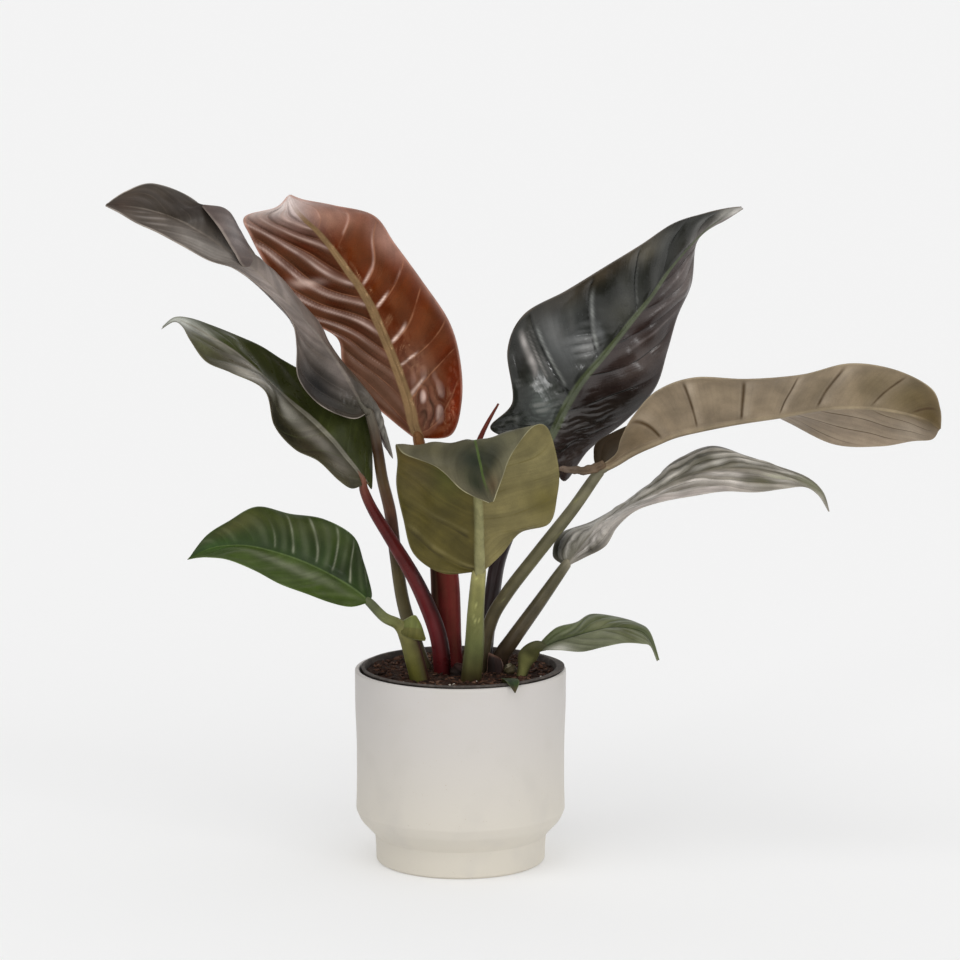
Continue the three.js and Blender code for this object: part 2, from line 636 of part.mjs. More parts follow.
function soilSolid(standing) {
  const base = POT_FLOOR + LINER_WALL + 2 * CLEARANCE;
  const inside = (z) => linerRadius(z) - LINER_WALL - SOIL_CLEARANCE;
  const edge = SOIL_TOP - SOIL_EDGE_DROP;
  const vertices = [new THREE.Vector3(0, 0, SOIL_TOP), new THREE.Vector3(0, 0, base)];
  const ringAt = (radius, height) =>
    Array.from({ length: SOIL_SECTORS }, (_, k) => {
      const angle = (2 * Math.PI * k) / SOIL_SECTORS;
      const [x, y] = [radius * Math.cos(angle), radius * Math.sin(angle)];
      return vertices.push(new THREE.Vector3(x, y, height(x, y))) - 1;
    });
  const rings = [];
  for (let i = 1; i <= SOIL_RINGS; i++) {
    const share = i / SOIL_RINGS;
    const level = SOIL_TOP - SOIL_EDGE_DROP * share * share;
    rings.push(ringAt(inside(edge) * share, (x, y) => level + SOIL_RELIEF * relief(x, y)));
  }
  rings.push(ringAt(inside(base), () => base));
  const triangles = [];
  for (let k = 0; k < SOIL_SECTORS; k++) {
    const l = (k + 1) % SOIL_SECTORS;
    triangles.push([0, rings[0][k], rings[0][l]]);
    for (let i = 0; i < rings.length - 1; i++) {
      triangles.push([rings[i][k], rings[i + 1][k], rings[i + 1][l]]);
      triangles.push([rings[i][k], rings[i + 1][l], rings[i][l]]);
    }
    triangles.push([rings.at(-1)[k], 1, rings.at(-1)[l]]);
  }
  return standing.reduce((left, points) => {
    const hole = sweptSolid(points, PETIOLE_SIDES, PETIOLE_STEPS_PER_POINT, CLEARANCE);
    return left.subtract(hole);
  }, closedSolid(vertices, triangles));
}

const sweep = (points) => sweptSolid(points, PETIOLE_SIDES, PETIOLE_STEPS_PER_POINT);
const rooted = (points) => wholePetiole({ petiole: points });

const FUSED = {
  leaf_lower: bladeSolid(SHEATH_MOUTH, 1, 0),
  leaf_tan: sweep(ROLLED_LOBE),
};

const plant = new THREE.Group();
const standing = [];
for (const [name, leaf] of Object.entries(LEAVES)) {
  const petiole = wholePetiole(leaf);
  standing.push(petiole);
  const [, , , width, depth] = leaf.petiole.at(-1);
  let solid = bladeSolid(leaf.rows, RIB_SHARE * width, RIB_SHARE * depth).add(sweep(petiole));
  if (FUSED[name]) solid = solid.add(FUSED[name]);
  plant.add(mesh(name, solid, leaf.colour, 0.4));
}
for (const [name, points] of Object.entries({ spear: SPEAR, crown: CROWN, stub: STUB, husk: HUSK })) {
  standing.push(rooted(points));
  plant.add(mesh(name, sweep(rooted(points)), COLOURS[name]));
}

const pot = new THREE.Group();
pot.add(mesh("pot", potSolid(), COLOURS.pot, 0.6));
pot.add(mesh("liner", linerSolid(), COLOURS.liner, 0.6));
pot.add(mesh("soil", soilSolid(standing), COLOURS.soil, 0.95));

const part = new THREE.Group();
part.add(pot, plant);
export default part;
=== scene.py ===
# %% [markdown]
# # A potted imperial red philodendron
# This lesson dresses a CAD model of a house plant so that it looks alive. The plant has nine leaves of
# different ages, from a glossy copper new one to plain green old ones, and stands in a cream ceramic pot.
# The CAD solids are the fixed frame: each piece made here stands where its solid does, only finer.

# %%  Load the frame
import math

import bpy
import numpy as np
from mathutils import Matrix, Vector


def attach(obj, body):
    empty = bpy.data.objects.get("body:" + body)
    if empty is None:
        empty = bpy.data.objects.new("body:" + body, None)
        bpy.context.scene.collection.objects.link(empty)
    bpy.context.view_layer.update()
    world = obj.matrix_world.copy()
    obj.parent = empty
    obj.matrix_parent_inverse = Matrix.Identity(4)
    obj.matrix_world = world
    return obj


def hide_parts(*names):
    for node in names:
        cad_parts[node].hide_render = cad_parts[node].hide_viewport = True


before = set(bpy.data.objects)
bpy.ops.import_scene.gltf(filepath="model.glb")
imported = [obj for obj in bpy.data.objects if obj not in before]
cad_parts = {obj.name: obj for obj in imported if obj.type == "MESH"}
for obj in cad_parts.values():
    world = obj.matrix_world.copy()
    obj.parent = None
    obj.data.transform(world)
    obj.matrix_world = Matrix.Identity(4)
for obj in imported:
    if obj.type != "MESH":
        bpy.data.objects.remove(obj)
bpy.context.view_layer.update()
scene = bpy.context.scene
MM = 0.001
print("nodes in the frame:", sorted(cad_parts))

# %% [markdown]
# ## The camera
# A product photographer stands well back with a long lens, so that the pot's sides stay upright and the
# leaves keep their true sizes. A long lens can be had by a narrow angle or by a camera far away: here the
# distance is fixed at three metres, and the focal length then frames the plant.

# %%  Camera
CAMERA_PLACE = (0.0155, -3.0, 0.784)
CAMERA_DIPS_DEG = 9.05
LENS_MM = 144.75
SENSOR_MM = 36
SEES_TO_M = 200

camera_data = bpy.data.cameras.new("product_camera")
camera_data.lens = LENS_MM
camera_data.sensor_width = SENSOR_MM
camera_data.clip_end = SEES_TO_M
camera = bpy.data.objects.new("product_camera", camera_data)
camera.location = CAMERA_PLACE
camera.rotation_euler = (math.radians(90 - CAMERA_DIPS_DEG), 0, 0)
scene.collection.objects.link(camera)
scene.camera = camera
scene.view_settings.view_transform = "Standard"
print("camera", CAMERA_PLACE, "lens", LENS_MM)

# %% [markdown]
# ## The studio
# The real picture is taken in a white room. Light comes from everywhere, a little more from the upper
# left front, and the white floor throws it back up under the leaves. A sky image could do this, but a
# plain slope of brightness over the whole sky is softer and has no picture to carry. The slope is darkest
# behind the camera, as a real studio is, and that keeps the dark leaves deep.

# %%  Sky that is brighter above and behind the plant
SKY_MIDDLE = 0.41
SKY_SLOPE = (0.20, 0.32, 0.30)

world = bpy.data.worlds.new("studio")
world.use_nodes = True
scene.world = world
sky = world.node_tree.nodes
sky_links = world.node_tree.links
direction = sky.new("ShaderNodeTexCoord")
lean = sky.new("ShaderNodeVectorMath")
lean.operation = "DOT_PRODUCT"
lean.inputs[1].default_value = SKY_SLOPE
level = sky.new("ShaderNodeMath")
level.operation = "ADD"
level.inputs[1].default_value = SKY_MIDDLE
sky_links.new(direction.outputs["Generated"], lean.inputs[0])
sky_links.new(lean.outputs["Value"], level.inputs[0])
sky_links.new(level.outputs[0], sky["Background"].inputs["Strength"])
sky["Background"].inputs["Color"].default_value = (1, 1, 1, 1)
print("sky from", SKY_MIDDLE, "slope", SKY_SLOPE)

# %%  Lamps
# Each: name, direction it shines from, strength, and how wide it looks in degrees.
LAMPS = [
    ("key_lamp", (-0.42, -0.55, 0.95), 0.78, 44),
    ("front_lamp", (0.3, -0.9, 0.45), 0.74, 60),
    ("left_softbox", (-0.5, -0.86, 0.16), 0.26, 8),
    ("right_softbox", (0.74, -0.64, 0.12), 0.26, 8),
]
for name, source, strength, wide in LAMPS:
    lamp_data = bpy.data.lights.new(name, "SUN")
    lamp_data.energy = strength
    lamp_data.angle = math.radians(wide)
    lamp = bpy.data.objects.new(name, lamp_data)
    lamp.rotation_euler = Vector(source).to_track_quat("Z", "Y").to_euler()
    scene.collection.objects.link(lamp)
print(len(LAMPS), "lamps")

# %%  A pale floor, marked as stage
FLOOR_HALF = 40.0
FLOOR_WHITE = (0.7, 0.7, 0.7, 1)
FLOOR_GLOW = 0.245

floor_mesh = bpy.data.meshes.new("floor")
floor_corners = [(-1, -1), (1, -1), (1, 1), (-1, 1)]
floor_mesh.from_pydata([(FLOOR_HALF * x, FLOOR_HALF * y, 0) for x, y in floor_corners], [], [(0, 1, 2, 3)])
floor = bpy.data.objects.new("floor", floor_mesh)
scene.collection.objects.link(floor)
paper = bpy.data.materials.new("studio_paper")
paper.use_nodes = True
paper_surface = paper.node_tree.nodes["Principled BSDF"]
paper_surface.inputs["Base Color"].default_value = FLOOR_WHITE
paper_surface.inputs["Roughness"].default_value = 1
paper_surface.inputs["Specular IOR Level"].default_value = 0
paper_surface.inputs["Emission Color"].default_value = (1, 1, 1, 1)
paper_surface.inputs["Emission Strength"].default_value = FLOOR_GLOW
floor.data.materials.append(paper)
print("floor", 2 * FLOOR_HALF, "m square")

# %% [markdown]
# ## Lines through points
# Every part of a plant is drawn by a few points that a smooth line runs through: a midrib, a margin, the
# core of a stalk. Blender has curve objects for this, but a leaf needs five such lines read side by side,
# so a small function reads a Catmull-Rom line at many places at once. The CAD solids use the same line.

# %%  A smooth line through rows of numbers
def line_at(points, t):
    rows = np.asarray(points, float)
    last = len(rows) - 1
    i = np.clip(np.floor(t).astype(int), 0, last - 1)
    f = (t - i).reshape(-1, *[1] * (rows.ndim - 1))
    a, b, c, d = (rows[np.clip(i + k, 0, last)] for k in (-1, 0, 1, 2))
    return b + 0.5 * f * ((c - a) + f * ((2 * a - 5 * b + 4 * c - d) + f * (3 * b - a - 3 * c + d)))


def unit(vectors):
    size = np.linalg.norm(vectors, axis=-1, keepdims=True)
    return vectors / np.where(size < 1e-9, 1, size)


def smooth_step(low, high, x):
    f = np.clip((x - low) / (high - low), 0, 1)
    return f * f * (3 - 2 * f)


print("half way:", line_at([[0, 0, 0], [1, 2, 0], [2, 0, 0]], np.array([0.5]))[0])

# %% [markdown]
# ## Colours as they are seen
# A colour read off a picture is not the colour of the paint: light has dimmed it and a thin sheen has
# greyed it. The picker turns a seen colour, in the usual 0 to 255 scale, into the pigment that looks so
# under this studio's light.

# %%  From a seen colour to a pigment
LIGHT_ON_LEAVES = 0.84
SHEEN_ON_LEAVES = 0.02
DEEPEST_SHARE = 0.4
DARKEST_PIGMENT = 0.002


# The usual curve between screen colours and light.
def linear(rgb):
    c = np.asarray(rgb, float) / 255
    return np.where(c <= 0.04045, c / 12.92, ((c + 0.055) / 1.055) ** 2.4)


def pigment(rgb, sheen=SHEEN_ON_LEAVES):
    seen = linear(rgb)
    return np.maximum(seen - sheen, DEEPEST_SHARE * seen) / LIGHT_ON_LEAVES


def solid_colour(rgb):
    return (*[float(c) for c in pigment(rgb)], 1)


print("a leaf green:", np.round(pigment((62, 92, 38)), 3))

# %% [markdown]
# ## Small waves instead of dice
# Leaves are never flat: they ripple, pucker and vary in tone. Random numbers per point would look like
# sand, so a few long waves at odd angles are added up. The same seed always gives the same waves.

# %%  Soft unevenness from a few waves
WAVES = 7
WAVE_LENGTHS = (0.6, 1.5)


def ripples(places, size, seed):
    draw = np.random.default_rng(seed)
    total = np.zeros(places.shape[:-1])
    for _ in range(WAVES):
        heading = unit(draw.normal(size=3)) * (2 * math.pi / size) * draw.uniform(*WAVE_LENGTHS)
        total += np.sin(places @ heading + draw.uniform(0, 2 * math.pi))
    return total / math.sqrt(WAVES)


print("ripples:", np.round(ripples(np.zeros((2, 3)), 10, 1), 3))

# %% [markdown]
# ## One mesh from parts
# A leaf is a blade and a stalk that grew as one, so both go into one mesh object. Along with its points,
# each part brings what its finish needs to know at every point: the pigment, how dull it is, where it lies
# between two side veins, and how strongly the veins show.

# %%  Join parts into one smooth mesh object
MARKS = ("dull", "vein_step", "vein_show")


def make_piece(name, parts):
    points = np.concatenate([p["points"] for p in parts])
    faces = []
    start = 0
    for part in parts:
        faces += [tuple(int(v) + start for v in f) for f in part["faces"]]
        start += len(part["points"])
    mesh = bpy.data.meshes.new(name)
    mesh.from_pydata(points * MM, [], faces)
    mesh.polygons.foreach_set("use_smooth", np.ones(len(faces), bool))
    colours = mesh.color_attributes.new("pigment", "FLOAT_COLOR", "POINT")
    rgb = np.concatenate([p["pigment"] for p in parts])
    colours.data.foreach_set("color", np.c_[rgb, np.ones(len(rgb))].astype(np.float32).ravel())
    for mark in MARKS:
        values = np.concatenate([np.broadcast_to(p.get(mark, 0.0), len(p["points"])) for p in parts])
        layer = mesh.attributes.new(mark, "FLOAT", "POINT")
        layer.data.foreach_set("value", values.astype(np.float32))
    piece = bpy.data.objects.new(name, mesh)
    scene.collection.objects.link(piece)
    return piece


def stand_for(piece, *nodes):
    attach(piece, "root")
    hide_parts(*nodes)
    print(piece.name, len(piece.data.polygons), "faces")


# %% [markdown]
# ## The blade as a sheet
# A blade hangs on five lines from base to tip: two margins, the midrib, and a line along the middle of
# each wing. That last one lets the wing bulge by some millimetres, or roll over through a point of its own.
# Sculpting by hand would be quicker for one leaf, but lines can be moved a millimetre at a time until the
# outline is right.

# %%  Five lines and the sheet between them
# A row is left margin, midrib and right margin in mm. A margin may add its bulge or its middle point.
def blade_lines(rows):
    mids = np.array([mid for _, mid, _ in rows], float)
    lines = []
    for i, (left, mid, right) in enumerate(rows):
        along = mids[min(i + 1, len(rows) - 1)] - mids[max(i - 1, 0)]
        five = [left[:3], None, mid, None, right[:3]]
        for slot, margin, side in ((1, left, -1), (3, right, 1)):
            if len(margin) == 6:
                five[slot] = margin[3:]
                continue
            wing = np.array(margin[:3], float) - mids[i]
            bulge = margin[3] if len(margin) > 3 else 0
            five[slot] = mids[i] + wing / 2 - unit(np.cross(along, wing)) * side * bulge
        lines.append([np.array(p, float) for p in five])
    return np.array(lines)


def sheet_at(lines, t, s):
    left, left_mid, mid, right_mid, right = np.moveaxis(line_at(lines, t), 1, 0)[:, :, None]
    on_left = (s < 0)[None, :, None]
    outer = np.where(on_left, left, right)
    middle = np.where(on_left, left_mid, right_mid)
    o = np.abs(s)[None, :, None]
    return mid * (1 - o) * (1 - 2 * o) + middle * 4 * o * (1 - o) + outer * o * (2 * o - 1)


def facing(sheet):
    return unit(np.cross(np.gradient(sheet, axis=1), np.gradient(sheet, axis=0)))


# %% [markdown]
# ## Side veins
# Side veins leave the midrib in pairs and sweep towards the tip. Each is pressed into the upper face, and
# the tissue between two of them puffs up. One number says where a point lies between two veins: whole
# numbers are veins, halves are the tops of the puffs. It bends the sheet here, and the finish later draws
# the fine lines with it.

# %%  Where the veins run
VEIN_CURVE = 1.25
VEIN_WANDER = 0.012
WANDER_WAVES = (9.5, 23)


# u runs from the base (0) to the tip (1), s from the left margin (-1) over the midrib to the right one (1).
def vein_steps(u, s, veins):
    count, lean = (np.where(s < 0, a, b)[None, :] for a, b in zip(veins["left"], veins["right"]))
    lean = lean + veins.get("sweep", 0) * u[:, None]
    slow, quick = WANDER_WAVES
    wander = np.sin(slow * u + count[0, 0]) + np.sin(quick * u)
    along = u + veins.get("wander", VEIN_WANDER) * wander
    return count * (along[:, None] - lean * np.abs(s)[None, :] ** VEIN_CURVE) + veins.get("shift", 0)


# %%  Shapes that relief and paint share: puffs, crests, spots and creases
PUFF_ROUNDNESS = 0.55
MINOR_VEIN, MINOR_WIDE = 0.08, 0.14
LIVELY_FROM, LIVELY_TO = -1.1, 1.1
OWN_WAVES = dict(relief=3, creases=5, tone=11, edge=21, crest_sheen=31, glint_and_shade_strokes=41)


def puff(steps):
    between = 2 * np.abs(steps - np.round(steps))
    return between ** PUFF_ROUNDNESS - MINOR_VEIN * np.exp(-(((1 - between) / MINOR_WIDE) ** 2))


def crest(steps, shift=0.0, sharp=1.0):
    return (0.5 - 0.5 * np.cos(2 * math.pi * (steps - shift))) ** sharp


def spot(u, s, u0, s0, u_reach, s_reach):
    return np.exp(-(((u[:, None] - u0) / u_reach) ** 2) - (((s[None, :] - s0) / s_reach) ** 2))


def lively(places, size, look, kind):
    return smooth_step(LIVELY_FROM, LIVELY_TO, ripples(places, size, look["seed"] + OWN_WAVES[kind]))


def creased(bed, look, size):
    run = look.get("crease_run", (1, 1, 1))
    return np.abs(ripples(bed * run, size, look["seed"] + OWN_WAVES["creases"]))


print("a puff, from vein to vein:", np.round(puff(np.linspace(0, 1, 5)), 2))

# %%  Measure a sheet: how far each point lies from the base, the midrib and the margin
COLUMNS_CROWD = 0.45
FLAT_BASE, FLAT_TIP = 0.06, 0.08
CALM_BY_RIB, CALM_BY_EDGE = (0.5, 7), 9


def measured(rows, look):
    along, across = look["grid"]
    t = np.linspace(0, len(rows) - 1, along)
    c = np.linspace(-1, 1, across)
    s = c * (1 - COLUMNS_CROWD + COLUMNS_CROWD * np.abs(c))
    sheet = sheet_at(blade_lines(rows), t, s)
    mid = across // 2
    step = np.linalg.norm(np.diff(sheet[:, mid], axis=0), axis=1)
    u = np.r_[0, np.cumsum(step)] / step.sum()
    gap = np.linalg.norm(np.diff(sheet, axis=1), axis=2)
    run = np.concatenate([np.zeros((along, 1)), np.cumsum(gap, axis=1)], axis=1)
    off_rib = np.abs(run - run[:, mid:mid + 1])
    to_edge = np.where(s[None, :] < 0, run, run[:, -1:] - run)
    ends = smooth_step(0, FLAT_BASE, u) * smooth_step(0, FLAT_TIP, 1 - u)
    calm = ends[:, None] * smooth_step(*CALM_BY_RIB, off_rib) * smooth_step(0, CALM_BY_EDGE, to_edge)
    steps = vein_steps(u, s, look["veins"])
    return dict(u=u, s=s, bed=sheet, off_rib=off_rib, to_edge=to_edge, calm=calm, steps=steps)


# %%  Raise the puffs, the slow waves and the wrinkles
PUFFS_VARY, PUFFS_VARY_OVER = 0.4, 30
WAVE_SIZE = 34


def relief_of(shape, look):
    u, s, bed, calm = (shape[key] for key in ("u", "s", "bed", "calm"))
    even = 1 - PUFFS_VARY
    high = np.where(s < 0, *look["relief"])
    high = high * (even + PUFFS_VARY * lively(bed, PUFFS_VARY_OVER, look, "relief"))
    for *where, share in look.get("flats", []):
        high = high * (1 - share * spot(u, s, *where))
    lift = high * calm * (puff(shape["steps"]) - 0.5)
    lift += look["wave"] * calm * ripples(bed, WAVE_SIZE, look["seed"])
    for *where, size, tall in look.get("wrinkles", []):
        lift += tall * spot(u, s, *where) * calm * creased(bed, look, size)
    return lift


# %%  Give the sheet its thickness and its midrib
BLADE_HALF, MARGIN_HALF, MARGIN_REACH = 0.4, 0.2, 2.5
RIB_SHARE, RIB_TIP, RIB_LEAST, RIB_UP = 0.85, 0.6, 0.3, 0.25
GROOVE_DEEP, GROOVE_WIDE = 0.35, 0.35


def blade_part(rows, look, rib):
    shape = measured(rows, look)
    u, off_rib = shape["u"][:, None], shape["off_rib"]
    sheet = shape["bed"] + facing(shape["bed"]) * relief_of(shape, look)[:, :, None]
    up = facing(sheet)
    half = MARGIN_HALF + (BLADE_HALF - MARGIN_HALF) * smooth_step(0, MARGIN_REACH, shape["to_edge"])
    rib_wide = np.maximum(rib[0] * RIB_SHARE * (1 - u) + RIB_TIP * u, RIB_LEAST)
    rib_deep = rib[1] * RIB_SHARE * (1 - u)
    round_rib = np.sqrt(np.clip(1 - (off_rib / rib_wide) ** 2, 0, 1))
    groove = GROOVE_DEEP * (1 - u) * np.exp(-((off_rib / (GROOVE_WIDE * rib_wide)) ** 2))
    upper = sheet + up * (half + RIB_UP * round_rib * (1 - u) - groove)[:, :, None]
    under = sheet - up * (half + rib_deep * round_rib)[:, :, None]
    return close_sheet(upper, under, dict(shape, places=sheet), look)


# %%  Close the two faces into one body
def close_sheet(upper, under, shape, look):
    along, across = upper.shape[:2]
    a = (np.arange(along - 1)[:, None] * across + np.arange(across - 1)[None, :]).ravel()
    below = along * across
    top = np.c_[a, a + 1, a + 1 + across, a + across]
    bottom = top[:, ::-1] + below
    i = np.arange(along - 1) * across
    j = np.arange(across - 1)
    tip = (along - 1) * across
    k = i + across - 1
    right = np.c_[k, k + below, k + across + below, k + across]
    left = np.c_[i, i + across, i + across + below, i + below]
    end = np.c_[j + tip, j + 1 + tip, j + 1 + tip + below, j + tip + below]
    base = np.c_[j, j + below, j + 1 + below, j + 1]
    paint = [face_paint(shape, look, face) for face in ("upper", "under")]
    joined = {key: np.concatenate([p[key].reshape(below, *p[key].shape[2:]) for p in paint])
              for key in paint[0]}
    return dict(
        points=np.concatenate([upper.reshape(-1, 3), under.reshape(-1, 3)]),
        faces=np.concatenate([top, bottom, right, left, end, base]),
        vein_step=np.tile(shape["steps"].ravel(), 2),
        **joined,
    )


# %% [markdown]
# ## Painting a face
# A leaf's colour changes with age and with the side, and some of the light and shade on it is painted in
# as well. It is laid on in layers, as a painter would: a ground for each wing, pale tints that follow the
# puffs between the veins, which are painted sheen, and soft patches where the leaf is paler or darker, some
# its own tone and some painted highlights and painted shade. A patch is given by its place along and across
# the blade, its reach both ways, its colour and its strength. Gloss spots make the wax smoother in places,
# glints are short strokes beside the veins, the pale ones painted highlights and the dark ones painted
# shade, and folds are the creases of crumpled tissue with a dark line of painted shade in each valley and a
# painted highlight on each crest. The band of the midrib and a pale line at the margin come last; that line
# is partly the leaf's own pale rim and partly a painted highlight.

# %%  How the layers vary and where they fade
WINGS_MEET = 0.04
TONE_DRIFT, TONE_SIZE, TONE_MOST = 0.10, 26, 1.5
CREST_SHEEN_LEAST, CREST_SHEEN_SIZE = 0.45, 24
GLINTS_LEAST, GLINTS_SIZE = 0.5, 15
FOLD_VALLEY, FOLD_CREST = (0.08, 0.4), (0.7, 1.3)
RIB_SOFT, RIB_ENDS = (0.75, 1.15), (0.86, 0.98)
EDGE_LEAST, EDGE_SIZE, EDGE_SOFT = 0.35, 22, 0.4
STROKE_SOFT, STROKE_FADE = 0.04, 0.12


def blend(base, top, amount):
    return base + (top - base) * amount[..., None]


def window(x, low, high):
    opens = smooth_step(low - STROKE_SOFT, low + STROKE_SOFT, x)
    return opens * (1 - smooth_step(high - STROKE_FADE, high + STROKE_SOFT, x))


def patchy_share(least, places, size, look, kind):
    return least + (1 - least) * lively(places, size, look, kind)


print("a stroke from 0.2 to 0.6 at 0.4:", window(np.array([0.4]), 0.2, 0.6))

# %%  Layers of pigment on one face of a blade
def face_paint(shape, look, face):
    u, s, places, steps, calm = (shape[key] for key in ("u", "s", "places", "steps", "calm"))
    left, right = (pigment(colour) for colour in look[face]["ground"])
    side = smooth_step(-WINGS_MEET, WINGS_MEET, s)[None, :] * np.ones((len(u), 1))
    rgb = blend(np.broadcast_to(left, (*side.shape, 3)), right, side)
    drift = np.clip(ripples(places, TONE_SIZE, look["seed"] + OWN_WAVES["tone"]), -TONE_MOST, TONE_MOST)
    rgb = rgb * (1 + TONE_DRIFT * drift[..., None])
    dull = np.full(side.shape, look["dull"])

    def layers(kind):
        return look[face].get(kind, [])

    # Pale tints on the crests between the veins: painted sheen.
    for colour, share, wing, *form in layers("crest_sheen"):
        amount = share * calm * crest(steps, *form) * (s * wing >= 0)
        rgb = blend(rgb, pigment(colour), amount * patchy_share(CREST_SHEEN_LEAST, places, CREST_SHEEN_SIZE, look, "crest_sheen"))
    # Soft patches: some the leaf's own tone, many painted highlights and painted shade.
    for *where, colour, share in layers("tone_and_light_patches"):
        rgb = blend(rgb, pigment(colour), share * spot(u, s, *where))
    for *where, to_dull, share in layers("gloss"):
        dull = dull + (to_dull - dull) * share * spot(u, s, *where)
    # Strokes beside the veins: pale ones are painted highlights, dark ones painted shade.
    for colour, share, wing, reach, part, shift, wide in layers("glint_and_shade_strokes"):
        off = (steps - shift - np.round(steps - shift)) / wide
        amount = share * np.exp(-(off ** 2)) * (s * wing >= 0)
        amount = amount * patchy_share(GLINTS_LEAST, places, GLINTS_SIZE, look, "glint_and_shade_strokes")
        amount = amount * window(np.abs(s), *reach)[None, :] * window(u, *part)[:, None]
        rgb = blend(rgb, pigment(colour), amount)
    # Crumpled creases: painted shade in each valley and a painted highlight on each crest.
    for *where, size, deep, crest_highlight, share in layers("fold_shade_and_highlight"):
        fold = creased(shape["bed"], look, size)
        near = share * calm * spot(u, s, *where)
        rgb = blend(rgb, pigment(deep), near * (1 - smooth_step(*FOLD_VALLEY, fold)))
        rgb = blend(rgb, pigment(crest_highlight), near * smooth_step(*FOLD_CREST, fold))
    for colour, wide_base, wide_tip, share in layers("rib"):
        wide = (wide_base + (wide_tip - wide_base) * u)[:, None]
        soft_from, soft_to = (edge * wide for edge in RIB_SOFT)
        amount = share * (1 - smooth_step(soft_from, soft_to, shape["off_rib"]))
        rgb = blend(rgb, pigment(colour), amount * (1 - smooth_step(*RIB_ENDS, u))[:, None])
    # A pale line at the margin: partly the leaf's own rim, partly a painted highlight.
    for colour, wide, share in layers("edge"):
        amount = share * patchy_share(EDGE_LEAST, places, EDGE_SIZE, look, "edge")
        amount = amount * (1 - smooth_step(EDGE_SOFT * wide, wide, shape["to_edge"]))
        rgb = blend(rgb, pigment(colour), amount)
    show = look[face]["vein_show"] * calm
    return dict(pigment=np.maximum(rgb, DARKEST_PIGMENT), dull=dull, vein_show=show)


# %% [markdown]
# ## Stalks
# A leaf stalk is a firm, slightly oval rod. Low down it widens into a sheath that wraps the stem, and fine
# ridges run along it. Blender's curve bevel would give a plain tube, so the rod is lofted ring by ring.
# Each point of its core also says how wide and how deep the ring is there. Its colour is a short list of
# tones from the soil up, and one side can carry a band of another tone: on the copper and dusky stalks
# that band is darker, a painted shade.

# %%  The tones of a rod
INNER_SOFT, INNER_FADE = 0.5, 0.1
STREAKS_ROUND, STREAK_TONE = 23, 0.07
DRIFT_TONE, DRIFT_SIZE = 0.08, 12
SPECKLE_TONE, SPECKLE_SIZE, SPECKLE_CUT = (165, 165, 110), 2.6, (1.3, 1.8)


def rod_tones(tones, share, angle, places, seed, side_shade_and_tone=None, speckle=0.0):
    stops = [stop for stop, _ in tones]
    colours = np.array([pigment(c) for _, c in tones])
    rgb = np.stack([np.interp(share, stops, colours[:, k]) for k in range(3)], axis=-1)
    rgb = np.broadcast_to(rgb, places.shape).copy()
    # A band down one side of the stalk: on the copper and dusky stalks it is painted shade.
    if side_shade_and_tone:
        turned_to, colour, until = side_shade_and_tone
        off = (angle - math.radians(turned_to) + math.pi) % (2 * math.pi) - math.pi
        on_side = np.exp(-(off ** 2) / INNER_SOFT)[None, :]
        rgb = blend(rgb, pigment(colour), on_side * (1 - smooth_step(until - INNER_FADE, until, share)))
    streak = np.sin(STREAKS_ROUND * angle + seed)[None, :] * np.ones((len(share), 1))
    rgb *= (1 + STREAK_TONE * streak + DRIFT_TONE * ripples(places, DRIFT_SIZE, seed))[..., None]
    if speckle:
        spots = smooth_step(*SPECKLE_CUT, ripples(places, SPECKLE_SIZE, seed + 3))
        rgb = blend(rgb, pigment(SPECKLE_TONE), speckle * spots)
    return rgb


# %%  Loft a rod ring by ring
LOOK_AHEAD = 0.05
SPIRAL_LOW, SPIRAL_STEP = 0.9, 0.16
KNOB_SIZE = 5
VIEW_AXIS = np.array([0.0, 1.0, 0.0])


def rod_part(points, tones, steps=9, sides=28, flutes=0.03, ribs=9, spiral=0.0, knobs=0.0, dull=0.42,
             seed=1, **marks):
    last = len(points) - 1
    t = np.linspace(0, last, last * steps + 1)
    core = line_at(points, t)
    ahead = line_at(points, np.minimum(t + LOOK_AHEAD, last))
    behind = line_at(points, np.maximum(t - LOOK_AHEAD, 0))
    along = unit((ahead - behind)[:, :3])
    across = unit(np.cross(VIEW_AXIS, along))
    deep = np.cross(along, across)
    angle = 2 * math.pi * np.arange(sides) / sides
    swell = 1 + flutes * np.cos(ribs * angle)[None, :] * np.ones((len(t), 1))
    if spiral:
        turn = (angle[None, :] / (2 * math.pi) + spiral * t[:, None]) % 1
        swell = swell * (SPIRAL_LOW + SPIRAL_STEP * turn)
    ring = (across[:, None] * (np.cos(angle) * core[:, None, 3])[..., None]
            + deep[:, None] * (np.sin(angle) * core[:, None, 4])[..., None])
    places = core[:, None, :3] + ring * swell[..., None]
    if knobs:
        places = places + unit(ring) * (knobs * ripples(places, KNOB_SIZE, seed))[..., None]
    rgb = rod_tones(tones, (t / t[-1])[:, None], angle, places, seed, **marks)
    return ring_faces(places, core[[0, -1], :3], rgb, dull)


# %%  Faces of a ringed body with closed ends
def ring_faces(places, ends, rgb, dull):
    count, sides = places.shape[:2]
    k = np.arange(sides)
    beside = (k + 1) % sides
    i = np.arange(count - 1)[:, None] * sides
    body = np.stack([i + k, i + beside, i + beside + sides, i + k + sides], axis=-1).reshape(-1, 4)
    last = (count - 1) * sides
    tip = count * sides + 1
    foot_fan = np.c_[beside, k, np.full(sides, tip - 1)]
    top_fan = np.c_[k + last, beside + last, np.full(sides, tip)]
    return dict(
        points=np.concatenate([places.reshape(-1, 3), ends]),
        faces=[*body, *foot_fan, *top_fan],
        pigment=np.maximum(np.concatenate([rgb.reshape(-1, 3), rgb[[0, -1], 0]]), DARKEST_PIGMENT),
        dull=dull,
    )


# %%  Root a stalk in the soil and run its tip into the blade
ROOTED_MM = 14
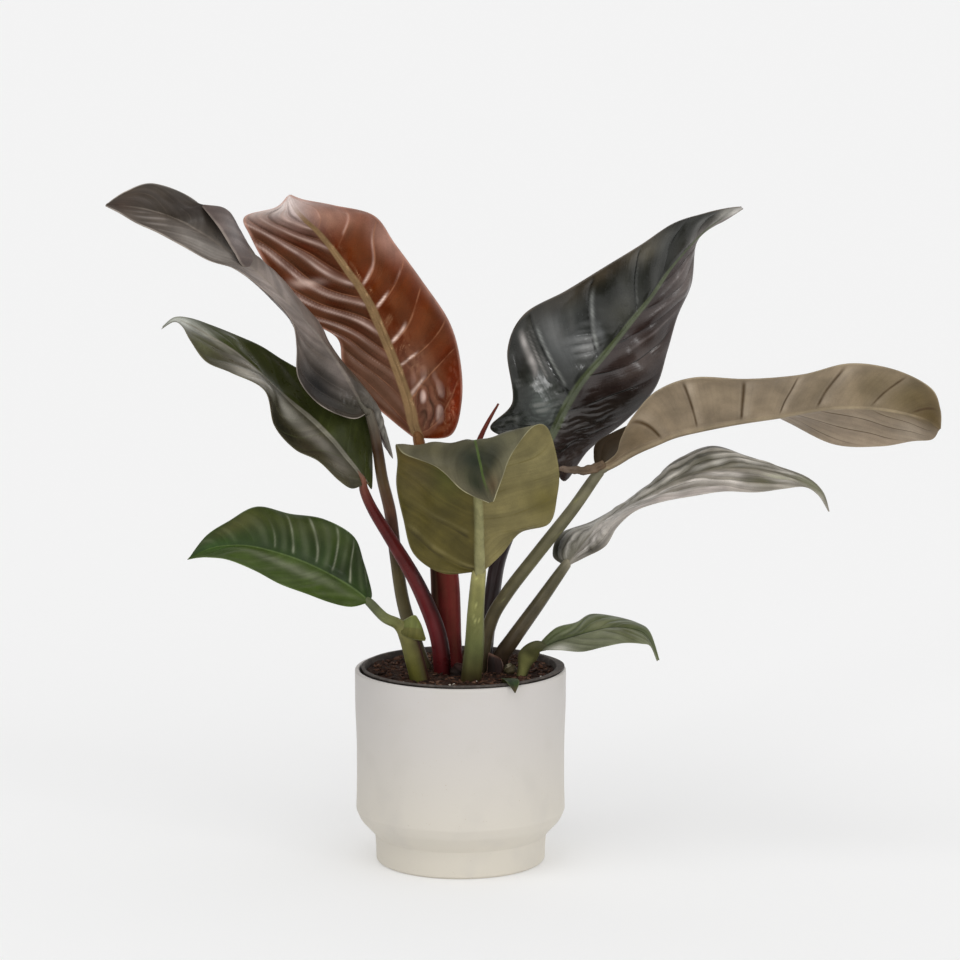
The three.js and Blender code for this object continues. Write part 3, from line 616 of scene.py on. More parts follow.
# How far up the blade's rows the stalk still is, and how thick it is there.
RUN_INTO_BLADE = [(0.5, 2.3), (1.3, 1.2), (1.9, 0.5)]
NEAR_ALONG, NEAR_ACROSS, SUNK_SHARE = 0.2, 0.2, 0.9


def into_blade(rows):
    lines = blade_lines(rows)
    run = []
    for t, thick in RUN_INTO_BLADE:
        at = sheet_at(lines, np.array([t, t + NEAR_ALONG]), np.array([0.0, NEAR_ACROSS]))
        down = unit(np.cross(at[0, 1] - at[0, 0], at[1, 0] - at[0, 0])) * -SUNK_SHARE * thick
        run.append((*(at[0, 0] + down), thick, thick))
    return run


def rooted(points, rows=None):
    foot = (*points[0][:2], points[0][2] - ROOTED_MM, *points[0][3:])
    return [foot, *points, *(into_blade(rows) if rows else [])]


# %% [markdown]
# ## Leaf skin
# A leaf's skin is a waxy film over pigment. One painted colour alone looks like plastic, so the finish
# adds what a close look shows: a fine grain of cells, thin secondary veins beside the main ones, a tone
# that drifts, and a gloss that is never quite even. All of it is worked out from the points' own marks and
# places, so it needs no image and no unwrapping. A finish is a net of nodes, and the same few kinds come
# back in every one, so they get short names first.

# %%  Short names for the nodes that every finish uses
# A finish under construction. What a socket is fed is a number, a colour or another node's output.
class Finish:
    def __init__(self, name, specular):
        self.material = bpy.data.materials.new(name)
        self.material.use_nodes = True
        self.nodes = self.material.node_tree.nodes
        self.links = self.material.node_tree.links
        self.surface = self.nodes["Principled BSDF"].inputs
        self.surface["Specular IOR Level"].default_value = specular
        self.place = self.add("ShaderNodeTexCoord").outputs["Object"]

    def add(self, kind, **settings):
        node = self.nodes.new(kind)
        for key, value in settings.items():
            setattr(node, key, value)
        return node

    def feed(self, socket, value):
        if isinstance(value, (int, float, tuple)):
            socket.default_value = value
        else:
            self.links.new(value, socket)

    def mark(self, called, output="Fac"):
        return self.add("ShaderNodeAttribute", attribute_name=called).outputs[output]

    def reckon(self, operation, *values):
        node = self.add("ShaderNodeMath", operation=operation)
        for socket, value in zip(node.inputs, values):
            self.feed(socket, value)
        return node.outputs[0]

    def times(self, product, *others):
        for other in others:
            product = self.reckon("MULTIPLY", product, other)
        return product

    def ramp(self, value, low, high, to_low=0.0, to_high=1.0, curve="LINEAR"):
        node = self.add("ShaderNodeMapRange", interpolation_type=curve)
        for socket, number in zip(node.inputs, (value, low, high, to_low, to_high)):
            self.feed(socket, number)
        return node.outputs[0]

    def ease(self, value, low, high, to_low, to_high):
        return self.ramp(value, low, high, to_low, to_high, "SMOOTHSTEP")

    def noise(self, scale, detail=2.0, where=None):
        node = self.add("ShaderNodeTexNoise")
        self.feed(node.inputs["Scale"], scale)
        self.feed(node.inputs["Detail"], detail)
        self.feed(node.inputs["Vector"], where or self.place)
        return node.outputs["Fac"]

    def mix(self, factor, first, second, way="MIX"):
        node = self.add("ShaderNodeMix", data_type="RGBA", blend_type=way)
        for name, value in (("Factor", factor), ("A", first), ("B", second)):
            self.feed(node.inputs[name], value)
        return node.outputs["Result"]

    def raise_relief(self, height, strength, distance):
        node = self.add("ShaderNodeBump")
        for name, value in (("Strength", strength), ("Distance", distance), ("Height", height)):
            self.feed(node.inputs[name], value)
        self.feed(self.surface["Normal"], node.outputs["Normal"])


# %%  Streaks and fine lines that follow the veins
STREAKS_PER_VEIN, STREAK_SCALE, STREAK_RISE = 3.5, 14, 1.2
VEIN_LINE, VEIN_RISE = 0.05, -0.8
FINE_VEINS, FINE_SHADE, FINE_RISE = 9, 0.04, 0.15
PATCHY_TONE, PATCHY_SCALE = 0.12, 70
CELL_TONE, CELL_SCALE = 0.07, 1500
GLOSS_SWING, GLOSS_SCALE = 0.14, 160
GRAIN_SCALE = 1100
BREAKS_SCALE, BREAKS = 55, (0.35, 0.6)
NOISE_MOSTLY = (0.3, 0.7)
SKIN_BUMP, SKIN_BUMP_M = 0.55, 0.0003


def streaks_along_veins(skin, step):
    across_veins = skin.add("ShaderNodeCombineXYZ")
    skin.feed(across_veins.inputs["X"], skin.times(step, STREAKS_PER_VEIN))
    stretched = skin.add("ShaderNodeVectorMath", operation="MULTIPLY_ADD")
    for socket, value in zip(stretched.inputs, (skin.place, (STREAK_SCALE,) * 3, across_veins.outputs[0])):
        skin.feed(socket, value)
    return skin.noise(1.0, 3.0, stretched.outputs[0])


def vein_lines(skin, step, unbroken):
    show = skin.mark("vein_show")
    between = skin.reckon("FRACT", skin.reckon("ADD", step, 0.5))
    off_vein = skin.reckon("ABSOLUTE", skin.reckon("SUBTRACT", between, 0.5))
    broken = skin.ease(skin.noise(BREAKS_SCALE), *BREAKS, unbroken, 1)
    line = skin.times(skin.ease(off_vein, 0.0, VEIN_LINE, 1, 0), show, broken)
    fine = skin.reckon("SINE", skin.times(step, 2 * math.pi * FINE_VEINS))
    fine_show = skin.times(skin.ease(fine, 0.2, 1.0, 0, 1), show)
    return line, fine_show, broken


# %%  Pigment, gloss and relief of the leaf skin
def leaf_skin(name, vein_colour, grain=0.25, specular=0.25, tint=None, streak_sheen=0.14, unbroken=0.25):
    skin = Finish(name, specular)
    if tint:
        skin.surface["Specular Tint"].default_value = tint
    step = skin.mark("vein_step")
    streak = streaks_along_veins(skin, step)
    line, fine_show, broken = vein_lines(skin, step, unbroken)

    toned = skin.add("ShaderNodeHueSaturation")
    veined = skin.mix(line, skin.mark("pigment", "Color"), solid_colour(vein_colour))
    skin.feed(toned.inputs["Color"], veined)
    drift = skin.ease(skin.noise(PATCHY_SCALE), *NOISE_MOSTLY, 1 - PATCHY_TONE, 1 + PATCHY_TONE)
    cells = skin.ease(skin.noise(CELL_SCALE, 1.0), *NOISE_MOSTLY, 1 - CELL_TONE, 1 + CELL_TONE)
    hair = skin.reckon("SUBTRACT", 1.0, skin.times(fine_show, broken, FINE_SHADE))
    # Streaks along the veins lighten and darken the pigment: a painted streaky sheen.
    streaky_sheen = skin.ease(streak, *NOISE_MOSTLY, 1 - streak_sheen, 1 + streak_sheen)
    skin.feed(toned.inputs["Value"], skin.times(drift, cells, hair, streaky_sheen))
    skin.feed(skin.surface["Base Color"], toned.outputs["Color"])

    swing = skin.ease(skin.noise(GLOSS_SCALE), 0.25, 0.75, -GLOSS_SWING / 2, GLOSS_SWING / 2)
    less_on_streaks = skin.ease(streak, *NOISE_MOSTLY, GLOSS_SWING / 3, -GLOSS_SWING / 3)
    uneven = skin.reckon("ADD", swing, less_on_streaks)
    skin.feed(skin.surface["Roughness"], skin.reckon("ADD", skin.mark("dull"), uneven))

    height = skin.reckon("ADD", skin.times(line, VEIN_RISE), skin.times(fine_show, -FINE_RISE))
    height = skin.reckon("ADD", height, skin.times(skin.noise(GRAIN_SCALE, 3.0), grain))
    height = skin.reckon("ADD", height, skin.times(streak, STREAK_RISE))
    skin.raise_relief(height, SKIN_BUMP, SKIN_BUMP_M)
    return skin.material


# %%  Grow a whole leaf: blade, stalk and anything that grew with them
def grow(name, rows, stalk, look):
    parts = [
        blade_part(rows, look, rib=stalk[-1][3:5]),
        rod_part(rooted(stalk, rows), look["tones"], seed=look["seed"], **look.get("stalk", {})),
        *look.get("extra", []),
    ]
    piece = make_piece("dressed_" + name.replace("leaf_", ""), parts)
    piece.data.materials.append(leaf_skin("skin_" + name, look["vein_colour"], **look.get("skin", {})))
    stand_for(piece, name)


# %% [markdown]
# ## The umber leaf
# The topmost leaf on the left is nearly brown-black with a greyed sheen. Its blade turns over on itself
# twice: near the base it makes a cup, and half way up one wing rolls over and shows its purple-brown under
# side. The rolled wing is steered by a point in its middle, which a plain bulge couldn't do.

# %%  Umber leaf: its lines and its stalk
UMBER_ROWS = [
    ((-72, -17, 362), (-71, -16, 363), (-70, -15, 365)),
    ((-84, -35, 360, -4), (-76, -19, 369), (-53, -5, 324, 6)),
    ((-108, -51, 373, -6), (-83, -23, 381), (-64, -1, 358, 6)),
    ((-124, -60, 395, -7), (-92, -28, 398), (-96, 4, 396, 4)),
    ((-125, -63, 420, -6), (-103, -33, 415), (-104, 3, 412, 3)),
    ((-128, -66, 439, -4), (-114, -38, 430), (-110, 8, 427, 3)),
    ((-140, -73, 456, -3), (-132, -43, 450), (-127, -1, 450, 4)),
    ((-158, -80, 473, -3), (-149, -48, 469), (-146, -14, 470, 6)),
    ((-173, -84, 483, -2), (-164, -52, 482), (-164, -56, 479, -157, -42, 488)),
    ((-190, -84, 488, -2), (-179, -56, 493), (-173, -61, 493, -169, -43, 508)),
    ((-210, -84, 499, -1), (-197, -60, 506), (-186, -62, 514, -182, -47, 525)),
    ((-229, -82, 509), (-217, -64, 518), (-205, -54, 533, 5)),
    ((-245, -80, 516), (-238, -68, 525), (-234, -54, 544, 3)),
    ((-258, -75, 523), (-256, -70, 528), (-254, -64, 539, 1)),
    ((-269, -71, 528), (-269, -71, 529), (-268, -71, 530)),
]
UMBER_STALK = [
    (-28, 6, 150, 6, 6), (-34, 3, 169, 5.7, 5.7), (-45, -1, 207, 5.2, 5.2), (-51, -5, 247, 4.9, 4.9),
    (-55, -8, 281, 4.7, 4.7), (-61, -11, 308, 4.5, 4.5), (-64, -13, 328, 4.3, 4.3), (-67, -14, 346, 4, 4),
    (-71, -16, 361, 3.6, 3.6),
]
print("umber leaf:", len(UMBER_ROWS), "rows")

# %%  Umber leaf: its look
# Painted light on this leaf: the pale grey patches, the pale crest tints and the pale fold crests are
# painted sheen, and the darkest patches, in the cup and beside the rolled wing, are painted shade.
UMBER_LOOK = dict(
    grid=(240, 80), seed=3, wave=0.5, relief=(1, 0.6), dull=0.36,
    veins=dict(left=(12, 0.22), right=(12, 0.2)), vein_colour=(112, 100, 92), crease_run=(1.5, 1.5, 0.5),
    wrinkles=[(0.03, 0.8, 0.05, 0.45, 9, 1.6), (0.04, -0.1, 0.03, 0.3, 9, 0.9)],
    upper=dict(
        ground=((82, 75, 69), (68, 62, 56)), vein_show=0.22,
        crest_sheen=[((134, 126, 120), 0.6, -1, 0.12, 2), ((92, 85, 80), 0.5, 1, 0.1, 2)],
        tone_and_light_patches=[
            (0.96, 0, 0.05, 0.7, (66, 56, 50), 0.8), (0.76, 0.5, 0.1, 0.4, (54, 48, 44), 0.7),
            (0.68, -0.45, 0.09, 0.4, (140, 134, 128), 0.8), (0.62, -0.1, 0.05, 0.3, (146, 140, 134), 0.7),
            (0.46, 0, 0.1, 0.9, (142, 131, 125), 0.8), (0.3, 0, 0.08, 0.8, (126, 115, 109), 0.75),
            (0.2, -0.3, 0.04, 0.6, (106, 98, 92), 0.7), (0.12, -0.62, 0.09, 0.5, (26, 22, 18), 1),
            (0.04, -0.4, 0.03, 0.5, (58, 56, 48), 0.9), (0.15, -0.03, 0.06, 0.14, (116, 107, 102), 0.8),
            (0.04, 0.75, 0.05, 0.5, (146, 142, 134), 0.75),
        ],
        gloss=[(0.11, -0.5, 0.1, 0.5, 0.26, 0.8)],
        fold_shade_and_highlight=[(0.03, 0.8, 0.05, 0.4, 9, (50, 44, 40), (176, 170, 162), 0.6)],
        rib=[((122, 113, 104), 1.6, 0.7, 0.6)],
        edge=[((176, 166, 156), 1.4, 0.85)],
    ),
    under=dict(
        ground=((96, 84, 79), (92, 81, 77)), vein_show=0.3,
        tone_and_light_patches=[
            (0.74, 0.86, 0.03, 0.3, (92, 82, 79), 0.7), (0.66, 0.84, 0.05, 0.14, (132, 126, 124), 0.7),
            (0.66, 0.55, 0.06, 0.14, (58, 48, 46), 0.8),
        ],
        rib=[((96, 84, 70), 3, 1, 0.8)],
        edge=[((160, 148, 138), 1.3, 0.75)],
    ),
    tones=[
        (0, (66, 56, 42)), (0.2, (92, 86, 66)), (0.3, (84, 76, 54)), (0.36, (70, 52, 36)),
        (0.42, (98, 72, 60)), (0.5, (92, 78, 60)), (0.6, (76, 60, 48)), (0.72, (98, 92, 82)),
        (1, (100, 97, 88)),
    ],
)
grow("leaf_umber", UMBER_ROWS, UMBER_STALK, UMBER_LOOK)

# %% [markdown]
# ## The copper leaf
# The newest full leaf is the plant's pride: a burnt orange that only lasts while the leaf is young. One
# half is pleated like a fan, with silvery ridges and deep orange valleys, the other is smooth and very
# shiny, with a puckered patch near the stalk. The pleats are geometry, because they shape the highlights.

# %%  Copper leaf: its lines and its stalk
COPPER_ROWS = [
    ((-36, 8, 338), (-33, 8, 339), (-30, 8, 338)),
    ((-51, 7, 350, 1), (-37, 11, 348), (-7, 15, 340, 3)),
    ((-74, 12, 370, 1), (-41, 16, 365), (1, 23, 365, 6)),
    ((-92, 16, 394, -1), (-49, 21, 388), (0, 32, 396, 8)),
    ((-97, 20, 416, -2), (-60, 27, 415), (-9, 40, 427, 8)),
    ((-123, 22, 433, -2), (-74, 34, 445), (-31, 50, 459, 7)),
    ((-150, 34, 467, -2), (-91, 42, 469), (-52, 57, 487, 6)),
    ((-166, 44, 494, -2), (-109, 50, 492), (-69, 63, 509, 5)),
    ((-171, 52, 509, -1), (-123, 56, 505), (-101, 65, 517, 3)),
    ((-147, 56, 516), (-131, 58, 514), (-124, 60, 522)),
    ((-138, 56, 524), (-136, 56, 526), (-134, 56, 526)),
]
COPPER_STALK = [
    (-9, 9, 150, 11, 7), (-11, 9, 176, 11.5, 7), (-13, 9, 230, 11, 6.5), (-20, 8, 273, 7, 5.5),
    (-27, 8, 309, 5, 5), (-33, 8, 337, 4.4, 4.4),
]
print("copper leaf:", len(COPPER_ROWS), "rows")

# %%  Copper leaf: its look
# Painted light on this leaf: the silvery tints and strokes on the ridges, the bright strokes beside the
# veins, the pale crests on the puckered patch and the pale tip are painted highlights, and the dark strokes
# in the valleys are painted shade.
COPPER_LOOK = dict(
    grid=(230, 104), seed=7, wave=0.8, relief=(3.4, 1.7), dull=0.26, crease_run=(1.5, 1.5, 0.55),
    veins=dict(left=(9.2, 0.24), right=(8.5, 0.17), wander=0.016),
    flats=[(0.05, -0.6, 0.28, 0.9, 0.85)],
    vein_colour=(156, 110, 86),
    wrinkles=[
        (0.11, 0.36, 0.08, 0.24, 19, 4.2), (0.28, 0.25, 0.08, 0.16, 13, 1.6),
        (0.1, 0.86, 0.09, 0.2, 7, 0.8),
    ],
    upper=dict(
        ground=((76, 42, 18), (88, 46, 6)), vein_show=0.5,
        crest_sheen=[((130, 105, 96), 0.85, -1, 0.2, 2.8), ((104, 60, 24), 0.35, 1, 0.1, 2)],
        tone_and_light_patches=[
            (1, 0, 0.1, 1.5, (222, 208, 204), 1), (0.95, -0.8, 0.06, 0.5, (208, 198, 194), 0.9),
            (0.87, -0.6, 0.04, 0.4, (128, 100, 88), 0.5), (0.86, 0.5, 0.07, 0.4, (146, 110, 96), 0.75),
            (0.69, 0.88, 0.09, 0.22, (160, 124, 112), 0.8), (0.52, 1.05, 0.2, 0.12, (176, 140, 128), 0.6),
            (0.62, -0.62, 0.012, 0.2, (206, 180, 168), 0.6), (0.18, -0.5, 0.19, 0.9, (90, 68, 60), 0.85),
            (0.05, -0.5, 0.04, 0.6, (78, 50, 32), 0.6), (0.24, 0.28, 0.07, 0.18, (124, 90, 76), 0.7),
            (0.1, 0.34, 0.07, 0.22, (124, 90, 78), 0.85), (0.13, 0.88, 0.1, 0.16, (130, 58, 32), 0.7),
        ],
        gloss=[(0.14, 0.34, 0.1, 0.3, 0.15, 0.9), (0.42, 0.4, 0.3, 0.5, 0.2, 0.6)],
        glint_and_shade_strokes=[
            ((236, 208, 194), 0.95, 1, (0.08, 0.36), (0.14, 0.64), 0.07, 0.045),
            ((186, 152, 140), 0.8, 1, (0.3, 0.8), (0.56, 0.95), 0.04, 0.035),
            ((180, 158, 150), 0.8, -1, (0.04, 1.1), (0.36, 1.1), 0.64, 0.07),
            ((146, 122, 112), 0.6, -1, (0.2, 1.1), (0.2, 1.1), 0.86, 0.03),
            ((58, 32, 18), 0.7, -1, (0.1, 1), (0.25, 1), 0.1, 0.06),
            ((52, 32, 24), 0.7, -1, (0.04, 0.6), (0.2, 0.9), 0.42, 0.03),
        ],
        fold_shade_and_highlight=[
            (0.11, 0.36, 0.07, 0.2, 19, (50, 29, 25), (222, 196, 186), 0.9),
            (0.12, 0.88, 0.1, 0.12, 7, (80, 30, 10), (186, 130, 106), 0.35),
        ],
        rib=[((122, 101, 76), 5.2, 2, 1)],
        edge=[((190, 140, 122), 2.8, 0.5), ((196, 160, 148), 1.2, 0.7)],
    ),
    under=dict(
        ground=((112, 74, 54), (112, 74, 54)), vein_show=0.4,
        rib=[((150, 116, 72), 4.5, 1.4, 0.9)],
        edge=[((150, 110, 84), 1.2, 0.6)],
    ),
    tones=[
        (0, (56, 18, 22)), (0.12, (76, 28, 34)), (0.3, (106, 50, 52)), (0.5, (94, 42, 44)),
        (0.65, (104, 74, 54)), (1, (122, 101, 76)),
    ],
    stalk=dict(dull=0.34, side_shade_and_tone=(222, (38, 3, 5), 0.62)),
    skin=dict(specular=0.3, tint=(1, 0.62, 0.34, 1), streak_sheen=0.1),
)
grow("leaf_copper", COPPER_ROWS, COPPER_STALK, COPPER_LOOK)

# %% [markdown]
# ## The dark leaf
# The tallest leaf on the right is almost black green, with a cold grey gloss on its left wing where the
# soft lamps mirror in it and pale patches and strokes of painted highlight add to it. Its few side veins
# are deep, and the puffs between them are wide. The right wing turns away and goes purple, with one pale
# band of painted light.

# %%  Dark leaf: its lines and its stalk
DARK_ROWS = [
    ((64, 12, 331), (67, 12, 331), (71, 12, 328)),
    ((24, 9, 345, -3), (72, 14, 339), (82, 20, 302, 2)),
    ((41, 3, 368, -3), (76, 16, 348), (102, 28, 326, 3)),
    ((37, 1, 409, -3), (83, 19, 362), (132, 40, 348, 4)),
    ((50, 3, 437, -3), (96, 23, 382), (155, 47, 373, 5)),
    ((83, 9, 455, -3), (113, 29, 401), (165, 55, 402, 5)),
    ((114, 18, 473, -3), (133, 36, 425), (173, 60, 429, 5)),
    ((142, 28, 489, -2), (150, 43, 445), (184, 65, 454, 4)),
    ((168, 38, 505, -2), (166, 50, 467), (187, 66, 483, 3)),
    ((193, 49, 512, -1), (185, 57, 488), (193, 65, 496, 1)),
    ((210, 59, 515), (203, 62, 504), (209, 65, 504)),
    ((223, 66, 516), (224, 66, 515), (225, 66, 514)),
]
DARK_STALK = [
    (18, 15, 150, 6.5, 6.5), (21, 15, 184, 6.3, 6.3), (25, 14, 211, 6.2, 6.2), (31, 13, 244, 6, 6),
    (49, 12, 288, 5.2, 5.2), (66, 12, 329, 4.2, 4.2),
]
print("dark leaf:", len(DARK_ROWS), "rows")

# %%  Dark leaf: its look
# Painted light on this leaf: the pale grey patches and strokes on the left wing, the pale fold crests and
# the pale band on the right wing are painted highlights; the dark fold valleys are painted shade.
DARK_LOOK = dict(
    grid=(220, 104), seed=12, wave=0.8, relief=(3.4, 1.7), dull=0.25, crease_run=(0.45, 0.45, 1.7),
    veins=dict(left=(6.2, 0.08), right=(8, 0.16), shift=-0.1), vein_colour=(24, 27, 22),
    wrinkles=[
        (0.04, -0.7, 0.04, 0.4, 12, 1.6), (0.1, 0.4, 0.08, 0.5, 13, 1.3),
        (0.33, -0.25, 0.06, 0.18, 19, 1.2),
    ],
    upper=dict(
        ground=((46, 48, 40), (58, 50, 46)), vein_show=0.9,
        crest_sheen=[((92, 92, 88), 0.45, -1, 0.2, 2), ((84, 76, 72), 0.4, 1, 0.1, 2)],
        tone_and_light_patches=[
            (0.28, -0.45, 0.08, 0.36, (92, 94, 94), 0.7), (0.32, -0.2, 0.03, 0.09, (138, 138, 136), 0.7),
            (0.37, -0.26, 0.014, 0.12, (120, 122, 122), 0.6),
            (0.27, -0.6, 0.025, 0.2, (122, 122, 120), 0.6), (0.1, -0.35, 0.05, 0.4, (92, 98, 94), 0.7),
            (0.46, -0.25, 0.05, 0.2, (86, 86, 80), 0.6), (0.45, -0.95, 0.16, 0.15, (82, 74, 64), 0.7),
            (0.6, -0.82, 0.05, 0.2, (100, 96, 86), 0.7), (0.85, 0.5, 0.09, 0.7, (146, 138, 134), 0.75),
            (0.97, 0.2, 0.05, 1.2, (200, 196, 190), 0.9), (0.92, -0.6, 0.04, 0.5, (160, 157, 149), 0.85),
            (0.62, 0.7, 0.1, 0.35, (112, 104, 101), 0.75), (0.33, 0.66, 0.06, 0.3, (90, 81, 77), 0.75),
            (0.19, 0.85, 0.05, 0.4, (42, 35, 28), 0.9), (0.13, 0.5, 0.06, 0.4, (48, 44, 38), 0.7),
            (0.14, -0.75, 0.05, 0.25, (48, 46, 40), 0.8),
        ],
        gloss=[(0.25, -0.5, 0.2, 0.6, 0.16, 0.8), (0.12, 0.4, 0.1, 0.5, 0.18, 0.8)],
        glint_and_shade_strokes=[
            ((150, 152, 148), 0.8, -1, (0.12, 0.8), (0.06, 0.56), 0.05, 0.028),
            ((192, 186, 182), 0.95, -1, (0.5, 0.92), (0.1, 0.3), 0.7, 0.06),
            ((146, 142, 138), 0.8, -1, (0.36, 0.86), (0.1, 0.3), 0.83, 0.022),
            ((110, 108, 106), 0.7, -1, (0.3, 0.9), (0.1, 0.3), 0.92, 0.022),
            ((120, 112, 110), 0.6, 1, (0.3, 0.9), (0.35, 0.9), 0.6, 0.05),
        ],
        fold_shade_and_highlight=[
            (0.33, -0.25, 0.06, 0.16, 19, (44, 46, 42), (156, 156, 154), 0.3),
            (0.08, -0.4, 0.07, 0.5, 12, (30, 32, 28), (128, 128, 124), 0.5),
        ],
        rib=[((82, 88, 68), 4, 1.4, 0.95)],
        edge=[((110, 96, 84), 0.9, 0.5)],
    ),
    under=dict(
        ground=((74, 60, 58), (74, 60, 58)), vein_show=0.5,
        rib=[((104, 96, 72), 3.4, 1, 0.9)],
        edge=[((110, 96, 84), 0.9, 0.5)],
    ),
    tones=[(0, (40, 24, 22)), (0.5, (54, 34, 36)), (0.8, (60, 48, 40)), (1, (76, 84, 62))],
    skin=dict(specular=0.4),
)
grow("leaf_dark", DARK_ROWS, DARK_STALK, DARK_LOOK)

# %% [markdown]
# ## The tan leaf
# This leaf reaches far to the right and shows its dull under side, the colour of milky coffee. The side
# veins stand out there as dark thin ribs a finger's width apart. At its base one lobe is rolled into a
# little scroll, which is a rod of its own fused to the stalk.

# %%  The rolled lobe of the tan leaf
SCROLL_LINE = [(112, -21, 322, 3.2, 2.8), (101, -27, 318.6, 3.3, 2.6), (89, -30, 318.6, 2.8, 2.2),
               (77, -30, 320, 1.5, 1.3)]
SCROLL_TONES = [(0, (104, 88, 72)), (0.6, (92, 80, 68)), (1, (120, 104, 92))]
SCROLL = rod_part(SCROLL_LINE, SCROLL_TONES, seed=4, flutes=0.1, ribs=5, spiral=0.3, knobs=0.55)
print("scroll", len(SCROLL["points"]), "points")

# %%  Tan leaf: its lines and its stalk
TAN_ROWS = [
    ((108, -17, 314), (108, -18, 317), (107, -19, 319)),
    ((105, 2, 325, 2), (120, -20, 323), (121, -28, 331)),
    ((110, 13, 336, 3), (134, -21, 331), (125, -41, 346, 2)),
    ((142, 16, 352, 3), (150, -22, 338), (133, -50, 363, 3)),
    ((164, 19, 363, 4), (167, -23, 345), (151, -55, 384, 3)),
    ((189, 20, 367, 4), (187, -24, 350), (180, -57, 395, 3)),
    ((225, 19, 365, 4), (218, -25, 356), (221, -58, 394, 3)),
    ((257, 11, 351, 4), (250, -27, 361), (263, -55, 397, 3)),
    ((293, -2, 335, 4), (284, -30, 367), (300, -50, 405, 3)),
    ((328, -14, 335, 4), (315, -34, 368), (335, -48, 400, 3)),
    ((352, -27, 341, 3), (341, -39, 365), (363, -48, 386, 2)),
    ((366, -38, 344, 1), (360, -43, 360), (371, -48, 369, 1)),
    ((370, -46, 352), (371, -46, 353), (372, -46, 354)),
]
TAN_STALK = [
    (15, -4, 150, 5.6, 5.6), (23, -5, 191, 5.4, 5.4), (36, -8, 216, 5.2, 5.2), (62, -11, 251, 5, 5),
    (88, -14, 285, 4.8, 4.8), (107, -18, 313, 4.2, 4.2),
]
print("tan leaf:", len(TAN_ROWS), "rows")

# %%  Tan leaf: its look
# Painted light on this leaf: the pale tint on each puff of the under side is a painted highlight beside the
# veins.
TAN_LOOK = dict(
    grid=(240, 92), seed=18, wave=0.5, relief=(1, 2.6), dull=0.5,
    veins=dict(left=(8.3, 0.25), right=(8.3, -0.05), shift=-0.5, sweep=0.1), vein_colour=(78, 64, 46),
    upper=dict(
        ground=((68, 60, 50), (72, 66, 54)), vein_show=0.4,
        tone_and_light_patches=[(0.1, -0.7, 0.08, 0.5, (66, 58, 48), 0.8)],
        rib=[((96, 92, 60), 2.4, 1, 0.8)],
        edge=[((150, 140, 110), 1, 0.6)],
    ),
    under=dict(
        ground=((142, 128, 111), (140, 126, 107)), vein_show=0.95,
        crest_sheen=[((172, 158, 140), 0.6, 1, 0.58, 8), ((160, 146, 128), 0.5, -1, 0.58, 6)],
        tone_and_light_patches=[
            (0.14, 0.4, 0.07, 0.6, (122, 107, 86), 0.75), (0.03, 0, 0.03, 1.2, (96, 80, 58), 0.7),
            (0.62, 0.5, 0.05, 0.5, (118, 105, 85), 0.6), (0.76, 0.5, 0.06, 0.6, (112, 99, 75), 0.7),
            (0.87, 0.5, 0.06, 0.7, (100, 89, 62), 0.7), (0.95, 0.4, 0.1, 1, (84, 71, 42), 0.92),
            (0.89, -0.7, 0.05, 0.4, (162, 149, 132), 0.8), (0.1, -0.7, 0.08, 0.5, (66, 58, 48), 0.8),
        ],
        rib=[((150, 136, 112), 3, 1.2, 0.6)],
        edge=[((168, 154, 130), 1, 0.6)],
    ),
    tones=[
        (0, (54, 44, 36)), (0.2, (80, 72, 58)), (0.45, (102, 98, 76)), (0.7, (128, 124, 104)),
        (1, (122, 110, 92)),
    ],
    stalk=dict(speckle=0.35), skin=dict(unbroken=0.8, streak_sheen=0.07), extra=[SCROLL],
)
grow("leaf_tan", TAN_ROWS, TAN_STALK, TAN_LOOK)

# %% [markdown]
# ## The front leaf
# The leaf nearest to the viewer bends forward and folds over, so its olive under side faces us with a
# broad pale midrib, and a flap of its green upper side hangs over the top. Its stout stalk is speckled
# with pale dots, and turns brown at its foot.

# %%  Front leaf: its lines and its stalk
FRONT_ROWS = [
    ((19, -61, 245), (15, -62, 244), (11, -61, 244)),
    ((32, -58, 257, -1), (15, -64, 253), (-14, -56, 242, -1)),
    ((47, -56, 274, -1), (15, -68, 269), (-36, -54, 257, -2)),
    ((69, -56, 281, -2), (15, -73, 289), (-44, -55, 285, -2)),
    ((75, -61, 303, -2), (14, -79, 310), (-49, -59, 311, -2)),
    ((76, -69, 326, -2), (13, -86, 332), (-48, -66, 331, -2)),
    ((68, -81, 358, -1), (12, -95, 351), (-49, -78, 346, -1)),
    ((56, -94, 362, 1), (13, -104, 349), (-42, -94, 341, 1)),
    ((40, -109, 344, 1), (16, -112, 336), (-17, -108, 333, 1)),
    ((32, -118, 325), (19, -118, 323), (2, -118, 317)),
    ((26, -122, 309), (25, -122, 309), (22, -122, 308)),
]
FRONT_STALK = [
    (8, -38, 149, 8.2, 8.2), (11, -43, 182, 7.6, 7.6), (12, -50, 209, 6.6, 6.6), (14, -58, 237, 5.8, 5.8),
    (15, -61, 246, 5, 5),
]
print("front leaf:", len(FRONT_ROWS), "rows")

